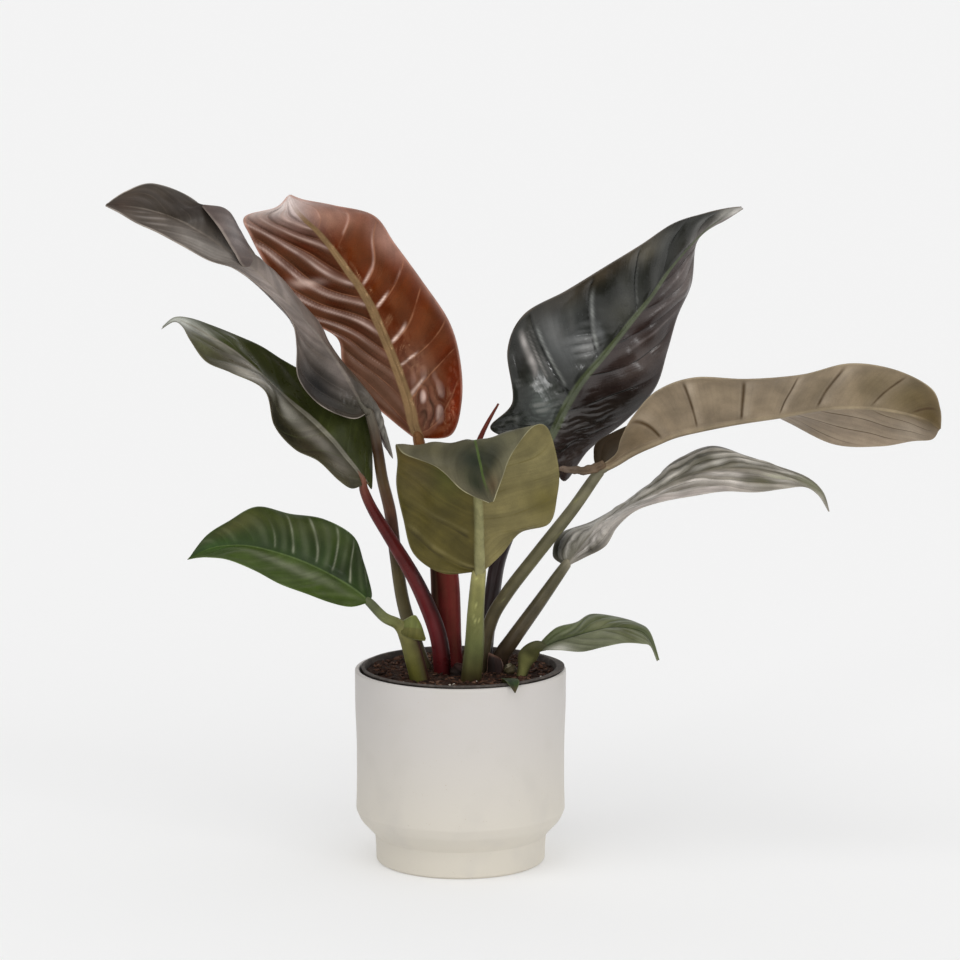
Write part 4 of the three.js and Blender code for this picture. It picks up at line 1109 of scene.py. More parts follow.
# %%  Front leaf: its look
# Painted light on this leaf: along the folds of the under side, the dark strokes are painted shade and the
# pale strokes painted highlights.
FRONT_LOOK = dict(
    grid=(200, 104), seed=23, wave=1, relief=(1.2, 2.6), dull=0.45,
    veins=dict(left=(8, 0.16), right=(7, 0.22)),
    flats=[(0.75, 0.5, 0.3, 1, 0.8)],
    vein_colour=(96, 88, 54),
    upper=dict(
        ground=((94, 91, 73), (92, 88, 72)), vein_show=0.05,
        tone_and_light_patches=[
            (0.8, 0.1, 0.1, 0.42, (28, 41, 12), 0.97), (0.83, -0.3, 0.09, 0.3, (38, 44, 22), 0.85),
            (0.9, 0.3, 0.06, 0.35, (48, 54, 30), 0.85), (0.93, -0.5, 0.05, 0.4, (84, 70, 54), 0.7),
            (0.73, 0.6, 0.05, 0.3, (82, 78, 60), 0.6),
        ],
        rib=[((76, 90, 52), 1, 1, 0.8)],
        edge=[((178, 172, 138), 0.9, 0.75)],
    ),
    under=dict(
        ground=((114, 106, 74), (86, 79, 49)), vein_show=0.5,
        tone_and_light_patches=[
            (0.58, -0.55, 0.1, 0.4, (130, 122, 87), 0.6), (0.39, -0.85, 0.08, 0.25, (92, 85, 50), 0.7),
            (0.45, 0.75, 0.08, 0.3, (102, 92, 64), 0.6), (0.5, 0.35, 0.12, 0.2, (84, 88, 44), 0.6),
            (0.62, 0.8, 0.1, 0.3, (98, 84, 56), 0.6),
        ],
        glint_and_shade_strokes=[
            ((58, 54, 28), 0.7, 1, (0.15, 1), (0, 0.34), 0.05, 0.07),
            ((122, 114, 80), 0.45, 1, (0.15, 1), (0, 0.36), 0.2, 0.06),
        ],
        rib=[((132, 129, 94), 4.2, 2.2, 0.95)],
        edge=[((150, 142, 104), 0.8, 0.5)],
    ),
    tones=[
        (0, (58, 50, 40)), (0.16, (72, 66, 48)), (0.26, (96, 100, 66)), (0.45, (126, 124, 80)),
        (0.6, (142, 136, 94)), (1, (130, 127, 92)),
    ],
    stalk=dict(speckle=0.8, flutes=0.02), skin=dict(specular=0.18),
)
grow("leaf_front", FRONT_ROWS, FRONT_STALK, FRONT_LOOK)

# %% [markdown]
# ## The dusky leaf
# A long dark green leaf with a broad grey midrib that shines like satin. Its near wing is wavy and folds
# up into two lobes. The stalk is a clear crimson all the way down, the colour that gave the plant its name.

# %%  Dusky leaf: its lines and its stalk
DUSKY_ROWS = [
    ((-75, -27, 307), (-73, -26, 310), (-72, -25, 309)),
    ((-84, -41, 306, -1), (-78, -27, 316), (-69, -20, 303)),
    ((-94, -55, 315, -2), (-87, -29, 327), (-69, -5, 327, -1)),
    ((-109, -63, 331, -3), (-100, -31, 343), (-71, -1, 358, -2)),
    ((-127, -67, 341, -4), (-115, -33, 359), (-89, -1, 381, -2)),
    ((-142, -73, 360, -3), (-129, -35, 371), (-118, -3, 391, -2)),
    ((-149, -79, 388, 2), (-144, -37, 385), (-138, -7, 402, -2)),
    ((-174, -76, 401, 2), (-159, -40, 400), (-155, -14, 414, -2)),
    ((-194, -70, 409, 1), (-174, -42, 413), (-173, -20, 423, -1)),
    ((-206, -64, 424), (-191, -44, 424), (-192, -29, 432)),
    ((-213, -54, 434), (-208, -46, 434), (-208, -40, 439)),
    ((-220, -48, 437), (-220, -46, 438), (-220, -44, 440)),
    ((-230, -46, 431), (-229, -46, 432), (-229, -45, 433)),
]
DUSKY_STALK = [
    (-14, -13, 150, 7, 6), (-16, -15, 176, 6.8, 5.6), (-21, -17, 196, 6.6, 5.2), (-32, -20, 223, 6, 4.8),
    (-43, -22, 244, 5.4, 4.4), (-55, -23, 264, 4.8, 4.2), (-68, -25, 286, 4.2, 4),
    (-75, -26, 302, 3.6, 3.6),
]
print("dusky leaf:", len(DUSKY_ROWS), "rows")

# %%  Dusky leaf: its look
# Painted light on this leaf: the grey patches along the midrib and on the near wing are painted sheen, the
# pale tip a painted highlight, and the darkest patches on the near lobes painted shade.
DUSKY_LOOK = dict(
    grid=(230, 84), seed=31, wave=0.8, relief=(1.1, 0.8), dull=0.34,
    veins=dict(left=(9, 0.2), right=(9, 0.16)), vein_colour=(84, 92, 62),
    upper=dict(
        ground=((72, 69, 56), (70, 74, 50)), vein_show=0.35,
        tone_and_light_patches=[
            (0.42, -0.25, 0.1, 0.14, (146, 143, 133), 0.95),
            (0.24, -0.28, 0.1, 0.14, (120, 115, 106), 0.9), (0.12, -0.42, 0.06, 0.25, (106, 101, 91), 0.7),
            (0.56, -0.7, 0.06, 0.24, (172, 167, 157), 0.9), (0.6, -0.2, 0.08, 0.12, (146, 142, 132), 0.85),
            (0.74, -0.12, 0.08, 0.12, (132, 130, 118), 0.8), (0.37, -0.75, 0.08, 0.25, (42, 41, 26), 0.9),
            (0.46, -1, 0.05, 0.16, (62, 56, 48), 0.85), (0.49, -0.62, 0.03, 0.14, (142, 139, 129), 0.7),
            (0.25, -0.72, 0.05, 0.25, (66, 61, 53), 0.8), (0.76, -0.65, 0.06, 0.35, (98, 99, 78), 0.8),
            (0.92, 0, 0.07, 0.9, (206, 208, 200), 0.95), (0.84, 0.1, 0.05, 0.4, (160, 160, 148), 0.85),
        ],
        rib=[((134, 130, 117), 2.8, 1.3, 0.8)],
        edge=[((120, 118, 96), 0.9, 0.6)],
    ),
    under=dict(
        ground=((84, 74, 56), (84, 74, 56)), vein_show=0.4,
        rib=[((112, 104, 80), 3, 1.4, 0.9)],
        edge=[((120, 110, 90), 0.9, 0.6)],
    ),
    tones=[
        (0, (60, 22, 22)), (0.1, (80, 34, 36)), (0.25, (108, 52, 54)), (0.45, (90, 40, 38)),
        (0.65, (84, 38, 34)), (0.78, (112, 74, 64)), (1, (120, 108, 90)),
    ],
    stalk=dict(dull=0.34, side_shade_and_tone=(335, (52, 10, 12), 0.5)), skin=dict(specular=0.22),
)
grow("leaf_dusky", DUSKY_ROWS, DUSKY_STALK, DUSKY_LOOK)

# %% [markdown]
# ## The lower leaf
# An older leaf low on the left, already plain green and less shiny, with pale side veins and pale streaks
# of painted sheen beside them. Where its stalk leaves the clump it is wrapped in a yellow-green sheath that
# stands open like a collar.

# %%  The collar of the lower leaf
COLLAR_ROWS = [
    ((-50, -47, 199), (-50, -48, 197), (-50, -48, 195)),
    ((-44, -47, 203, 1), (-44, -51, 198), (-45, -50, 192, 1)),
    ((-36, -47, 207, 1), (-37, -51.5, 198), (-39, -49, 189, 1)),
    ((-32.5, -45, 203, 1), (-31, -49, 196), (-32, -47, 187, 1)),
    ((-28, -44, 190), (-27, -44.5, 188), (-27.5, -44, 186)),
]
COLLAR_LOOK = dict(
    grid=(24, 24), seed=5, wave=0.3, relief=(0.2, 0.2), dull=0.45, veins=dict(left=(3, 0), right=(3, 0)),
    upper=dict(
        ground=((100, 104, 64), (94, 92, 58)), vein_show=0.3,
        edge=[((164, 164, 118), 1.4, 0.7)],
    ),
    under=dict(
        ground=((98, 104, 62), (94, 92, 56)), vein_show=0.3,
        edge=[((164, 164, 118), 1.4, 0.7)],
    ),
)
COLLAR = blade_part(COLLAR_ROWS, COLLAR_LOOK, rib=(1, 0))
print("collar", len(COLLAR["points"]), "points")

# %%  Lower leaf: its lines and its stalk
LOWER_ROWS = [
    ((-72, -59, 219), (-71, -58, 220), (-69, -57, 221)),
    ((-84, -75, 219), (-77, -61, 226), (-69, -49, 227, 1)),
    ((-99, -89, 225, -1), (-87, -65, 234), (-75, -43, 248, 2)),
    ((-117, -100, 234, -1), (-102, -70, 244), (-83, -44, 269, 3)),
    ((-137, -107, 243, -1), (-121, -75, 254), (-106, -47, 283, 3)),
    ((-156, -110, 254, -1), (-141, -80, 262), (-132, -52, 288, 3)),
    ((-176, -109, 262), (-162, -85, 268), (-157, -61, 295, 3)),
    ((-191, -104, 263), (-181, -90, 269), (-178, -76, 286, 2)),
    ((-200, -100, 262), (-196, -94, 266), (-194, -88, 277, 1)),
    ((-208, -97, 260), (-208, -97, 260), (-207, -97, 261)),
]
LOWER_STALK = [
    (-31, -38, 149, 7.5, 6.5), (-36, -40, 171, 7.4, 6), (-41, -44, 189, 6.8, 5.2),
    (-48, -49, 200, 4.6, 4.2), (-59, -55, 207, 3.9, 3.9), (-70, -58, 219, 3.4, 3.4),
]
print("lower leaf:", len(LOWER_ROWS), "rows")

# %%  Lower leaf: its look
# Painted light on this leaf: the pale strokes beside the veins, the pale crest tints and the pale strip
# beside the midrib are painted sheen.
LOWER_LOOK = dict(
    grid=(190, 88), seed=37, wave=0.7, relief=(0.9, 1.1), dull=0.38,
    veins=dict(left=(9, 0.16), right=(9, 0.12)), vein_colour=(98, 108, 76),
    upper=dict(
        ground=((68, 80, 42), (54, 65, 32)), vein_show=0.12,
        crest_sheen=[((112, 118, 94), 0.36, 1, 0.1, 5), ((92, 98, 74), 0.35, -1, 0.1, 3)],
        tone_and_light_patches=[
            (0.42, -0.3, 0.3, 0.14, (112, 116, 96), 0.7), (0.2, 0.3, 0.08, 0.5, (44, 52, 32), 0.6),
            (0.85, -0.1, 0.12, 0.6, (60, 82, 38), 0.6), (0.76, 0.7, 0.12, 0.35, (84, 82, 54), 0.7),
            (0.5, 0.75, 0.25, 0.3, (76, 80, 54), 0.6),
        ],
        glint_and_shade_strokes=[((150, 152, 132), 0.6, 1, (0.1, 0.95), (0.1, 0.62), 0.12, 0.05)],
        rib=[((86, 100, 62), 1.1, 0.6, 0.7)],
        edge=[((120, 136, 92), 0.9, 0.6)],
    ),
    under=dict(
        ground=((88, 98, 64), (88, 98, 64)), vein_show=0.35,
        rib=[((132, 142, 100), 2.6, 1.2, 0.9)],
        edge=[((130, 142, 100), 0.9, 0.6)],
    ),
    tones=[
        (0, (66, 66, 38)), (0.2, (92, 90, 54)), (0.4, (118, 114, 76)), (0.5, (106, 108, 72)),
        (0.65, (88, 92, 70)), (1, (84, 94, 66)),
    ],
    stalk=dict(side_shade_and_tone=(345, (62, 40, 38), 0.45)), skin=dict(specular=0.18), extra=[COLLAR],
)
grow("leaf_lower", LOWER_ROWS, LOWER_STALK, LOWER_LOOK)

# %% [markdown]
# ## The silver leaf
# On the right hangs a leaf that is seen along its length, so its skin mirrors the bright room and looks
# silver. Its side veins run almost along the leaf, in long stripes. Real silver comes from the gloss, and
# part of it is painted in: pale stripes and patches that are a painted reflection of the bright room.

# %%  Silver leaf: its lines and its stalk
SILVER_ROWS = [
    ((82, -11, 240), (83, -12, 240), (85, -13, 240)),
    ((73, -1, 246), (89, -15, 249), (97, -23, 248)),
    ((79, 7, 262, -1), (99, -19, 262), (113, -39, 260, 2)),
    ((104, 13, 271, -1), (112, -23, 276), (122, -53, 278, 2)),
    ((129, 11, 286), (128, -27, 287), (136, -61, 292, 1)),
    ((151, 7, 303, 1), (146, -31, 298), (156, -67, 300)),
    ((174, 1, 324, 2), (166, -35, 310), (179, -71, 305)),
    ((198, -5, 334, 2), (189, -39, 319), (203, -73, 309)),
    ((223, -15, 328, 2), (214, -43, 322), (228, -71, 308, 1)),
    ((246, -27, 322, 1), (239, -47, 320), (249, -67, 310, 1)),
    ((269, -40, 315), (263, -50, 313), (266, -58, 310)),
    ((281, -51, 305), (279, -53, 304), (277, -55, 303)),
    ((286, -54, 290), (286, -54, 290), (285, -54, 290)),
]
SILVER_STALK = [
    (29, -4, 150, 7, 6.4), (32, -5, 165, 6.5, 6.2), (42, -8, 181, 6, 6), (62, -11, 210, 5.2, 5.2),
    (82, -12, 239, 4, 4),
]
print("silver leaf:", len(SILVER_ROWS), "rows")

# %%  Silver leaf: its look
# Painted light on this leaf: the grey ground, the pale crest tints and the pale patches are a painted
# reflection of the bright room, and the dark strokes between the stripes painted shade.
SILVER_LOOK = dict(
    grid=(230, 84), seed=41, wave=1, relief=(2.4, 1.8), dull=0.36,
    veins=dict(left=(5.5, 0.62), right=(5, 0.5), wander=0.03), vein_colour=(78, 78, 66),
    wrinkles=[(0.1, 0.2, 0.1, 0.8, 10, 1.6), (0.45, -0.3, 0.3, 0.6, 13, 0.9)],
    upper=dict(
        ground=((108, 105, 94), (138, 133, 124)), vein_show=0.8,
        crest_sheen=[((200, 196, 188), 0.95, -1, 0.1, 1.1), ((212, 206, 200), 0.9, 1, 0.1)],
        tone_and_light_patches=[
            (0.07, -0.8, 0.06, 0.4, (40, 42, 26), 1), (0.2, 0.3, 0.09, 0.7, (188, 182, 176), 0.7),
            (0.09, 0.8, 0.04, 0.3, (64, 62, 52), 0.85), (0.53, -0.45, 0.06, 0.2, (70, 70, 58), 0.75),
            (0.7, 0.65, 0.06, 0.3, (76, 74, 50), 0.85), (0.79, 0.3, 0.05, 0.2, (170, 169, 148), 0.7),
            (0.9, 0, 0.06, 1.2, (120, 122, 100), 0.7), (0.42, 0.9, 0.2, 0.2, (196, 186, 182), 0.7),
        ],
        glint_and_shade_strokes=[
            ((74, 74, 62), 0.8, -1, (0.05, 0.9), (0.1, 0.85), 0.02, 0.05),
            ((92, 88, 78), 0.7, 1, (0.05, 0.7), (0.05, 0.8), 0.5, 0.04),
        ],
        rib=[((120, 116, 104), 1.2, 0.6, 0.6)],
        edge=[((160, 154, 142), 0.9, 0.6)],
    ),
    under=dict(
        ground=((110, 104, 88), (110, 104, 88)), vein_show=0.5,
        rib=[((128, 120, 96), 2.4, 1, 0.9)],
        edge=[((160, 154, 142), 0.9, 0.6)],
    ),
    tones=[
        (0, (52, 38, 32)), (0.2, (58, 46, 38)), (0.36, (72, 64, 54)), (0.6, (90, 86, 70)),
        (0.72, (152, 145, 126)), (1, (150, 143, 124)),
    ],
    skin=dict(streak_sheen=0.22),
)
grow("leaf_silver", SILVER_ROWS, SILVER_STALK, SILVER_LOOK)

# %% [markdown]
# ## The small leaf and the old tip
# The small leaf at the pot's right rim is a plain fresh green, and its stalk opens into a flat sheath. The
# tip of an old leaf pokes over the rim in front of it. Both are made by the same two functions as the big
# leaves, with coarser grids, because they cover little of the picture.

# %%  Small leaf: its lines and its stalk
SMALL_ROWS = [
    ((61, -29, 180), (63, -30, 177), (65, -31, 176)),
    ((75, -23, 192, 1), (75, -33, 183), (78, -41, 178)),
    ((91, -20, 196, 1), (89, -37, 188), (95, -52, 179, 1)),
    ((103, -22, 203, 1), (103, -42, 193), (112, -62, 185, 1)),
    ((122, -27, 202, 1), (118, -47, 197), (127, -67, 189, 1)),
    ((139, -38, 199, 1), (134, -52, 197), (141, -65, 188)),
    ((148, -50, 194), (145, -56, 192), (148, -61, 185)),
    ((155, -60, 174), (154, -60, 174), (153, -60, 173)),
]
SMALL_STALK = [
    (48, -19, 150, 4.2, 3.4), (50, -21, 160, 4.8, 3.2), (53, -25, 170, 7.6, 2.6), (60, -29, 178, 5.4, 2.2),
]
print("small leaf:", len(SMALL_ROWS), "rows")

# %%  Small leaf: its look
# Painted light on this leaf: the pale patches and the pale crest tints are painted highlights.
SMALL_LOOK = dict(
    grid=(140, 72), seed=47, wave=0.8, relief=(1.1, 1.1), dull=0.4,
    veins=dict(left=(7, 0.3), right=(7, 0.28)), vein_colour=(70, 84, 54),
    upper=dict(
        ground=((86, 92, 66), (108, 111, 90)), vein_show=0.5,
        crest_sheen=[((132, 136, 112), 0.6, -1, 0.1, 2), ((140, 142, 120), 0.6, 1, 0.1, 2)],
        tone_and_light_patches=[
            (0, 0, 0.05, 1.5, (58, 58, 38), 0.9), (0.13, 0.8, 0.08, 0.35, (186, 184, 174), 0.8),
            (0.46, -0.25, 0.08, 0.25, (122, 123, 96), 0.6), (0.62, 0.4, 0.08, 0.7, (80, 82, 58), 0.8),
            (0.82, 0.1, 0.09, 0.8, (74, 78, 58), 0.8),
        ],
        rib=[((58, 64, 42), 0.9, 0.5, 0.8)],
        edge=[((128, 132, 108), 0.8, 0.6)],
    ),
    under=dict(
        ground=((96, 102, 76), (96, 102, 76)), vein_show=0.4,
        rib=[((120, 124, 94), 2, 0.8, 0.9)],
        edge=[((140, 150, 116), 0.8, 0.6)],
    ),
    tones=[(0, (60, 56, 42)), (0.35, (84, 82, 60)), (0.6, (68, 68, 48)), (1, (72, 74, 54))],
    stalk=dict(flutes=0.01, side_shade_and_tone=(270, (128, 128, 84), 0.5)),
)
grow("leaf_small", SMALL_ROWS, SMALL_STALK, SMALL_LOOK)

# %%  Old tip: its lines and its stalk
OLD_TIP_ROWS = [
    ((36, -50, 157.4), (35, -50, 157.2), (34, -50, 157.4)),
    ((42, -57, 158.8), (37, -58, 158.2), (32, -57, 158.8)),
    ((45, -65, 159.8), (39.5, -66, 159.2), (34, -65, 159.8)),
    ((46, -72, 159.4), (41, -73, 158.8), (36, -72, 159.4)),
    ((45, -77, 156.6), (42, -78, 156), (39, -77.5, 156.6)),
    ((43, -80, 152.4), (42.6, -80, 152.2), (42.2, -80, 152.4)),
]
OLD_TIP_STALK = [(33, -44, 150, 1.6, 1.3), (34, -47, 155, 1.5, 1.2), (35, -50, 156.6, 1.3, 1.1)]
print("old tip:", len(OLD_TIP_ROWS), "rows")

# %%  Old tip: its look
OLD_TIP_LOOK = dict(
    grid=(60, 28), seed=53, wave=0.2, relief=(0.2, 0.2), dull=0.45,
    veins=dict(left=(5, 0.3), right=(5, 0.3)), vein_colour=(70, 84, 54),
    upper=dict(
        ground=((56, 68, 44), (48, 58, 38)), vein_show=0.3,
        tone_and_light_patches=[(0.95, 0, 0.1, 1.5, (80, 62, 40), 0.6)],
        edge=[((96, 104, 72), 0.8, 0.6)],
    ),
    under=dict(
        ground=((66, 72, 50), (66, 72, 50)), vein_show=0.3,
        edge=[((96, 104, 72), 0.8, 0.6)],
    ),
    tones=[(0, (66, 56, 34)), (1, (60, 66, 42))],
    stalk=dict(flutes=0),
)
grow("old_tip", OLD_TIP_ROWS, OLD_TIP_STALK, OLD_TIP_LOOK)

# %% [markdown]
# ## The rolled new leaf
# Behind the copper leaf stands the next one, still rolled into a dark red-brown needle. A rolled leaf
# shows its margin as a seam that winds round it, so each ring of the rod is a little spiral.

# %%  Spear
SPEAR_LINE = [(-9, 22, 150, 2.8, 2.8), (-9, 22, 206, 2.8, 2.8), (-6, 20, 240, 2.7, 2.7),
              (3, 14, 296, 2.5, 2.5), (16, 8, 339, 2.1, 2.1), (30, 6, 366, 0.8, 0.8)]
SPEAR_TONES = [(0, (70, 40, 34)), (0.7, (96, 46, 42)), (1, (112, 64, 54))]
rolled = rod_part(rooted(SPEAR_LINE), SPEAR_TONES, flutes=0, spiral=0.5, seed=6)
spear = make_piece("new_leaf_spear", [rolled])
spear.data.materials.append(leaf_skin("skin_spear", (60, 30, 28)))
stand_for(spear, "spear")

# %% [markdown]
# ## What older leaves left behind
# Between the stalks sits the short stem that all of them rise from, with a cut-off stalk and a dry brown
# husk beside it. They are small, but they are what makes the foot of the plant look grown.

# %%  Crown and cut stub
CROWN_LINE = [(1, -19, 150, 8.4, 8), (1, -19, 154, 8.6, 8), (1, -18.5, 158, 7.4, 7),
              (2, -18, 162, 4.8, 4.4)]
CROWN_TONES = [(0, (40, 26, 22)), (0.7, (50, 34, 28)), (1, (66, 48, 40))]
STUB_LINE = [(43, -4, 149, 4.4, 4.4), (41, -10, 153.5, 4.6, 4.6), (38.8, -16.4, 158, 4.6, 4.6),
             (38.6, -17, 158.4, 4.3, 4.3)]
STUB_TONES = [(0, (70, 62, 46)), (0.9, (72, 66, 52)), (0.97, (52, 46, 36)), (1, (122, 116, 98))]
REMAINS = {
    "crown": (CROWN_LINE, dict(tones=CROWN_TONES, knobs=0.9, dull=0.8)),
    "stub": (STUB_LINE, dict(tones=STUB_TONES, flutes=0.07, ribs=6, steps=6, dull=0.6)),
}
DRY_GRAIN = 0.8
for name, (line, finish) in REMAINS.items():
    piece = make_piece("old_" + name, [rod_part(rooted(line), seed=8, **finish)])
    piece.data.materials.append(leaf_skin("skin_" + name, (60, 44, 34), grain=DRY_GRAIN))
    stand_for(piece, name)

# %%  Dry husk, a torn sheet bent round the foot of a stalk
HUSK_ROWS = [
    ((21.5, -13, 146), (27.5, -15.5, 146), (33.6, -13.5, 146)),
    ((20.9, -13.4, 152, 1), (27.5, -16.2, 152), (34, -13.8, 152, 1)),
    ((21.2, -13.4, 158, 1), (27.4, -16.4, 158), (34, -14, 157, 1)),
    ((21.4, -13, 163, 1), (27, -16, 164), (33.4, -13.6, 161.5, 1)),
    ((22, -12.4, 168, 0.5), (26.4, -14.8, 167.4), (32, -13, 165, 0.5)),
    ((22.6, -12, 170.4), (26, -13.4, 168.6), (31, -12.6, 165.6)),
]
HUSK_FACE = dict(
    ground=((50, 34, 29), (56, 37, 31)), vein_show=0.3,
    tone_and_light_patches=[(0.97, 0, 0.06, 2, (110, 84, 72), 0.7)],
    edge=[((136, 108, 96), 1.0, 0.8)],
)
HUSK_LOOK = dict(
    grid=(60, 36), seed=14, wave=0.7, relief=(0.7, 0.7), dull=0.6,
    veins=dict(left=(1.5, 2.2), right=(1.5, -2.2)),
    upper=HUSK_FACE, under=HUSK_FACE,
)
husk = make_piece("old_husk", [blade_part(HUSK_ROWS, HUSK_LOOK, rib=(0.8, 0.3))])
husk.data.materials.append(leaf_skin("skin_husk", (44, 28, 24), grain=DRY_GRAIN))
stand_for(husk, "husk")

# %% [markdown]
# ## Turning a pot
# The cover pot is thrown clay: a straight wall, a sloping shoulder and a stepped-in foot, all round one
# axis. A profile spun round that axis is the natural way to make it. Its corners are rounded first, since
# glaze never leaves a sharp edge, and the spin has enough sides to look round close up.

# %%  Round the corners of a profile, and spin it
MOST_OF_A_SIDE = 0.45


def eased(profile, bends=5):
    points = np.array([p[:2] for p in profile], float)
    out = [points[0]]
    for i in range(1, len(points) - 1):
        reach = profile[i][2] if len(profile[i]) > 2 else 0
        before, after = points[i - 1] - points[i], points[i + 1] - points[i]
        r = min(reach, MOST_OF_A_SIDE * np.linalg.norm(before), MOST_OF_A_SIDE * np.linalg.norm(after))
        if r <= 0:
            out.append(points[i])
            continue
        start, end = points[i] + unit(before) * r, points[i] + unit(after) * r
        for f in np.linspace(0, 1, bends):
            out.append((1 - f) ** 2 * start + 2 * f * (1 - f) * points[i] + f * f * end)
    out.append(points[-1])
    return np.array(out)


# A pot's colour comes from its finish, so the marks that leaves need are the same all over it.
def spun(profile, sides, warp=None):
    angle = 2 * math.pi * np.arange(sides) / sides
    rings = profile[1:-1]
    places = np.stack([rings[:, :1] * np.cos(angle), rings[:, :1] * np.sin(angle),
                       np.repeat(rings[:, 1:], sides, axis=1)], axis=-1)
    if warp:
        places = warp(places, angle)
    ends = np.array([[0, 0, profile[0, 1]], [0, 0, profile[-1, 1]]])
    return ring_faces(places, ends, rgb=np.ones((len(rings), sides, 3)), dull=0.5)


# %%  Cover pot: each point is its radius, its height and how far its corner is rounded
FOOT, WAIST, SHOULDER, RIM = 67.2, 82.5, 83.1, 83.7
FOOT_TOP, SHOULDER_TOP, POT_TOP = 23.2, 42.6, 155.6
WALL, POT_FLOOR = 3.6, 8
INNER = RIM - WALL
POT_PROFILE = [
    (0, 0), (FOOT - 2.6, 0, 0.3), (FOOT - 2.4, 0.9, 0.3), (FOOT - 0.8, 1, 0.4), (FOOT, 2, 0.6),
    (FOOT + 0.3, 12), (FOOT + 1, FOOT_TOP - 1, 0.7), (FOOT + 2.2, FOOT_TOP + 0.2, 0.7),
    (FOOT + 5.6, FOOT_TOP + 4, 2), (SHOULDER - 3.4, FOOT_TOP + 11.4, 3),
    (SHOULDER - 1, SHOULDER_TOP - 2.6, 1.4), (SHOULDER, SHOULDER_TOP, 1.4), (WAIST, SHOULDER_TOP + 21, 8),
    (WAIST, POT_TOP - 58, 8), (RIM - 0.1, POT_TOP - 30, 8), (RIM, POT_TOP - 1.2, 0.9),
    (RIM - 1, POT_TOP, 0.8), (INNER + 0.8, POT_TOP, 0.8), (INNER, POT_TOP - 1, 0.9),
    (WAIST - WALL, SHOULDER_TOP + 2, 6), (FOOT - WALL, FOOT_TOP + 2, 4), (FOOT - WALL, POT_FLOOR, 4),
    (0, POT_FLOOR),
]
POT_SIDES = 160
cover_pot = make_piece("cover_pot", [spun(eased(POT_PROFILE), POT_SIDES)])
stand_for(cover_pot, "pot")

# %% [markdown]
# ## Matt glaze
# The glaze is cream with a satin surface, painted a little lighter and warmer low down as a stand-in for
# the light the floor throws up, with the faintest specks of iron and a soft orange-peel relief. The
# painted floor light follows height, the specks are a sharp cut through noise, and the relief is a bump
# too small to see by itself, that breaks up the sheen.

# %%  Glaze
GLAZE_LOW_FLOOR_LIT = (0.668, 0.624, 0.540, 1)
GLAZE_HIGH = (0.606, 0.576, 0.550, 1)
GLAZE_CLOUD = (0.580, 0.548, 0.500, 1)
IRON_SPECK = (0.56, 0.50, 0.42, 1)
FLOOR_LIGHT_REACH_M = 0.15
CLOUD_SCALE, SPECK_SCALE, SHEEN_SCALE, PEEL_SCALE = 28, 900, 60, 420
SATIN = (0.48, 0.62)

glaze = Finish("matt_cream_glaze", specular=0.35)
split = glaze.add("ShaderNodeSeparateXYZ")
glaze.feed(split.inputs[0], glaze.place)
# Painted light: lighter and warmer towards the foot, where the floor throws light up.
up_pot = glaze.ease(split.outputs["Z"], 0.0, FLOOR_LIGHT_REACH_M, 0.0, 1.0)
floor_lit_glaze = glaze.mix(up_pot, GLAZE_LOW_FLOOR_LIT, GLAZE_HIGH)
cloudy = glaze.mix(glaze.ramp(glaze.noise(CLOUD_SCALE), 0.55, 1.0), floor_lit_glaze, GLAZE_CLOUD)
specked = glaze.mix(glaze.ramp(glaze.noise(SPECK_SCALE, 0.0), 0.81, 0.88), cloudy, IRON_SPECK)
glaze.feed(glaze.surface["Base Color"], specked)
sheen = glaze.ramp(glaze.noise(SHEEN_SCALE), 0.2, 0.8)
glaze.feed(glaze.surface["Roughness"], glaze.ramp(sheen, 0.0, 1.0, *SATIN))
glaze.raise_relief(glaze.ramp(glaze.noise(PEEL_SCALE, 3.0), 0, 1), strength=0.25, distance=0.0002)
cover_pot.data.materials.append(glaze.material)
print("glaze of", len(glaze.nodes), "nodes")

# %% [markdown]
# ## The nursery pot
# Inside the cover pot stands the thin dark plastic pot that the plant was grown in. Its soft lip lies over
# the ceramic rim and sags on one side. A warp of the spun profile gives the sag and the uneven lip.

# %%  The lip that sags
LIP_TOP, LIP_RADIUS, LIP_DEEP = 157.6, 79.0, 1.5
SAG_MM, SAG_TOWARDS, SAG_NARROW = 3.3, 0.08, 6
LIP_FROM_BELOW, LIP_FROM_INSIDE = (LIP_TOP - 1.8, LIP_TOP - 1.3), (77.6, 78.2)


def sagging_lip(places, angle):
    slack = np.maximum(0, np.cos(angle - SAG_TOWARDS)) ** SAG_NARROW
    radius = np.hypot(places[..., 0], places[..., 1])
    at_lip = smooth_step(*LIP_FROM_BELOW, places[..., 2]) * smooth_step(*LIP_FROM_INSIDE, radius)
    uneven = 0.25 * np.sin(5 * angle + 1) + 0.2 * np.sin(11 * angle)
    out = 1 + at_lip * (SAG_MM * slack + uneven)[None, :] / np.maximum(radius, 1)
    places = places * np.stack([out, out, np.ones_like(out)], axis=-1)
    places[..., 2] += at_lip * (0.2 * np.sin(3 * angle + 2) - 0.25)[None, :]
    return places


# %%  Nursery pot
LINER_BOTTOM, LINER_WALL, CLEARANCE = 56, 1.4, 0.35
LINER_LOW = POT_FLOOR + CLEARANCE
LIP_OVERHANG = 1.6


def liner_radius(z):
    widening = LIP_RADIUS - LIP_OVERHANG - LINER_BOTTOM
    return LINER_BOTTOM + widening * (z - POT_FLOOR) / (LIP_TOP - POT_FLOOR)


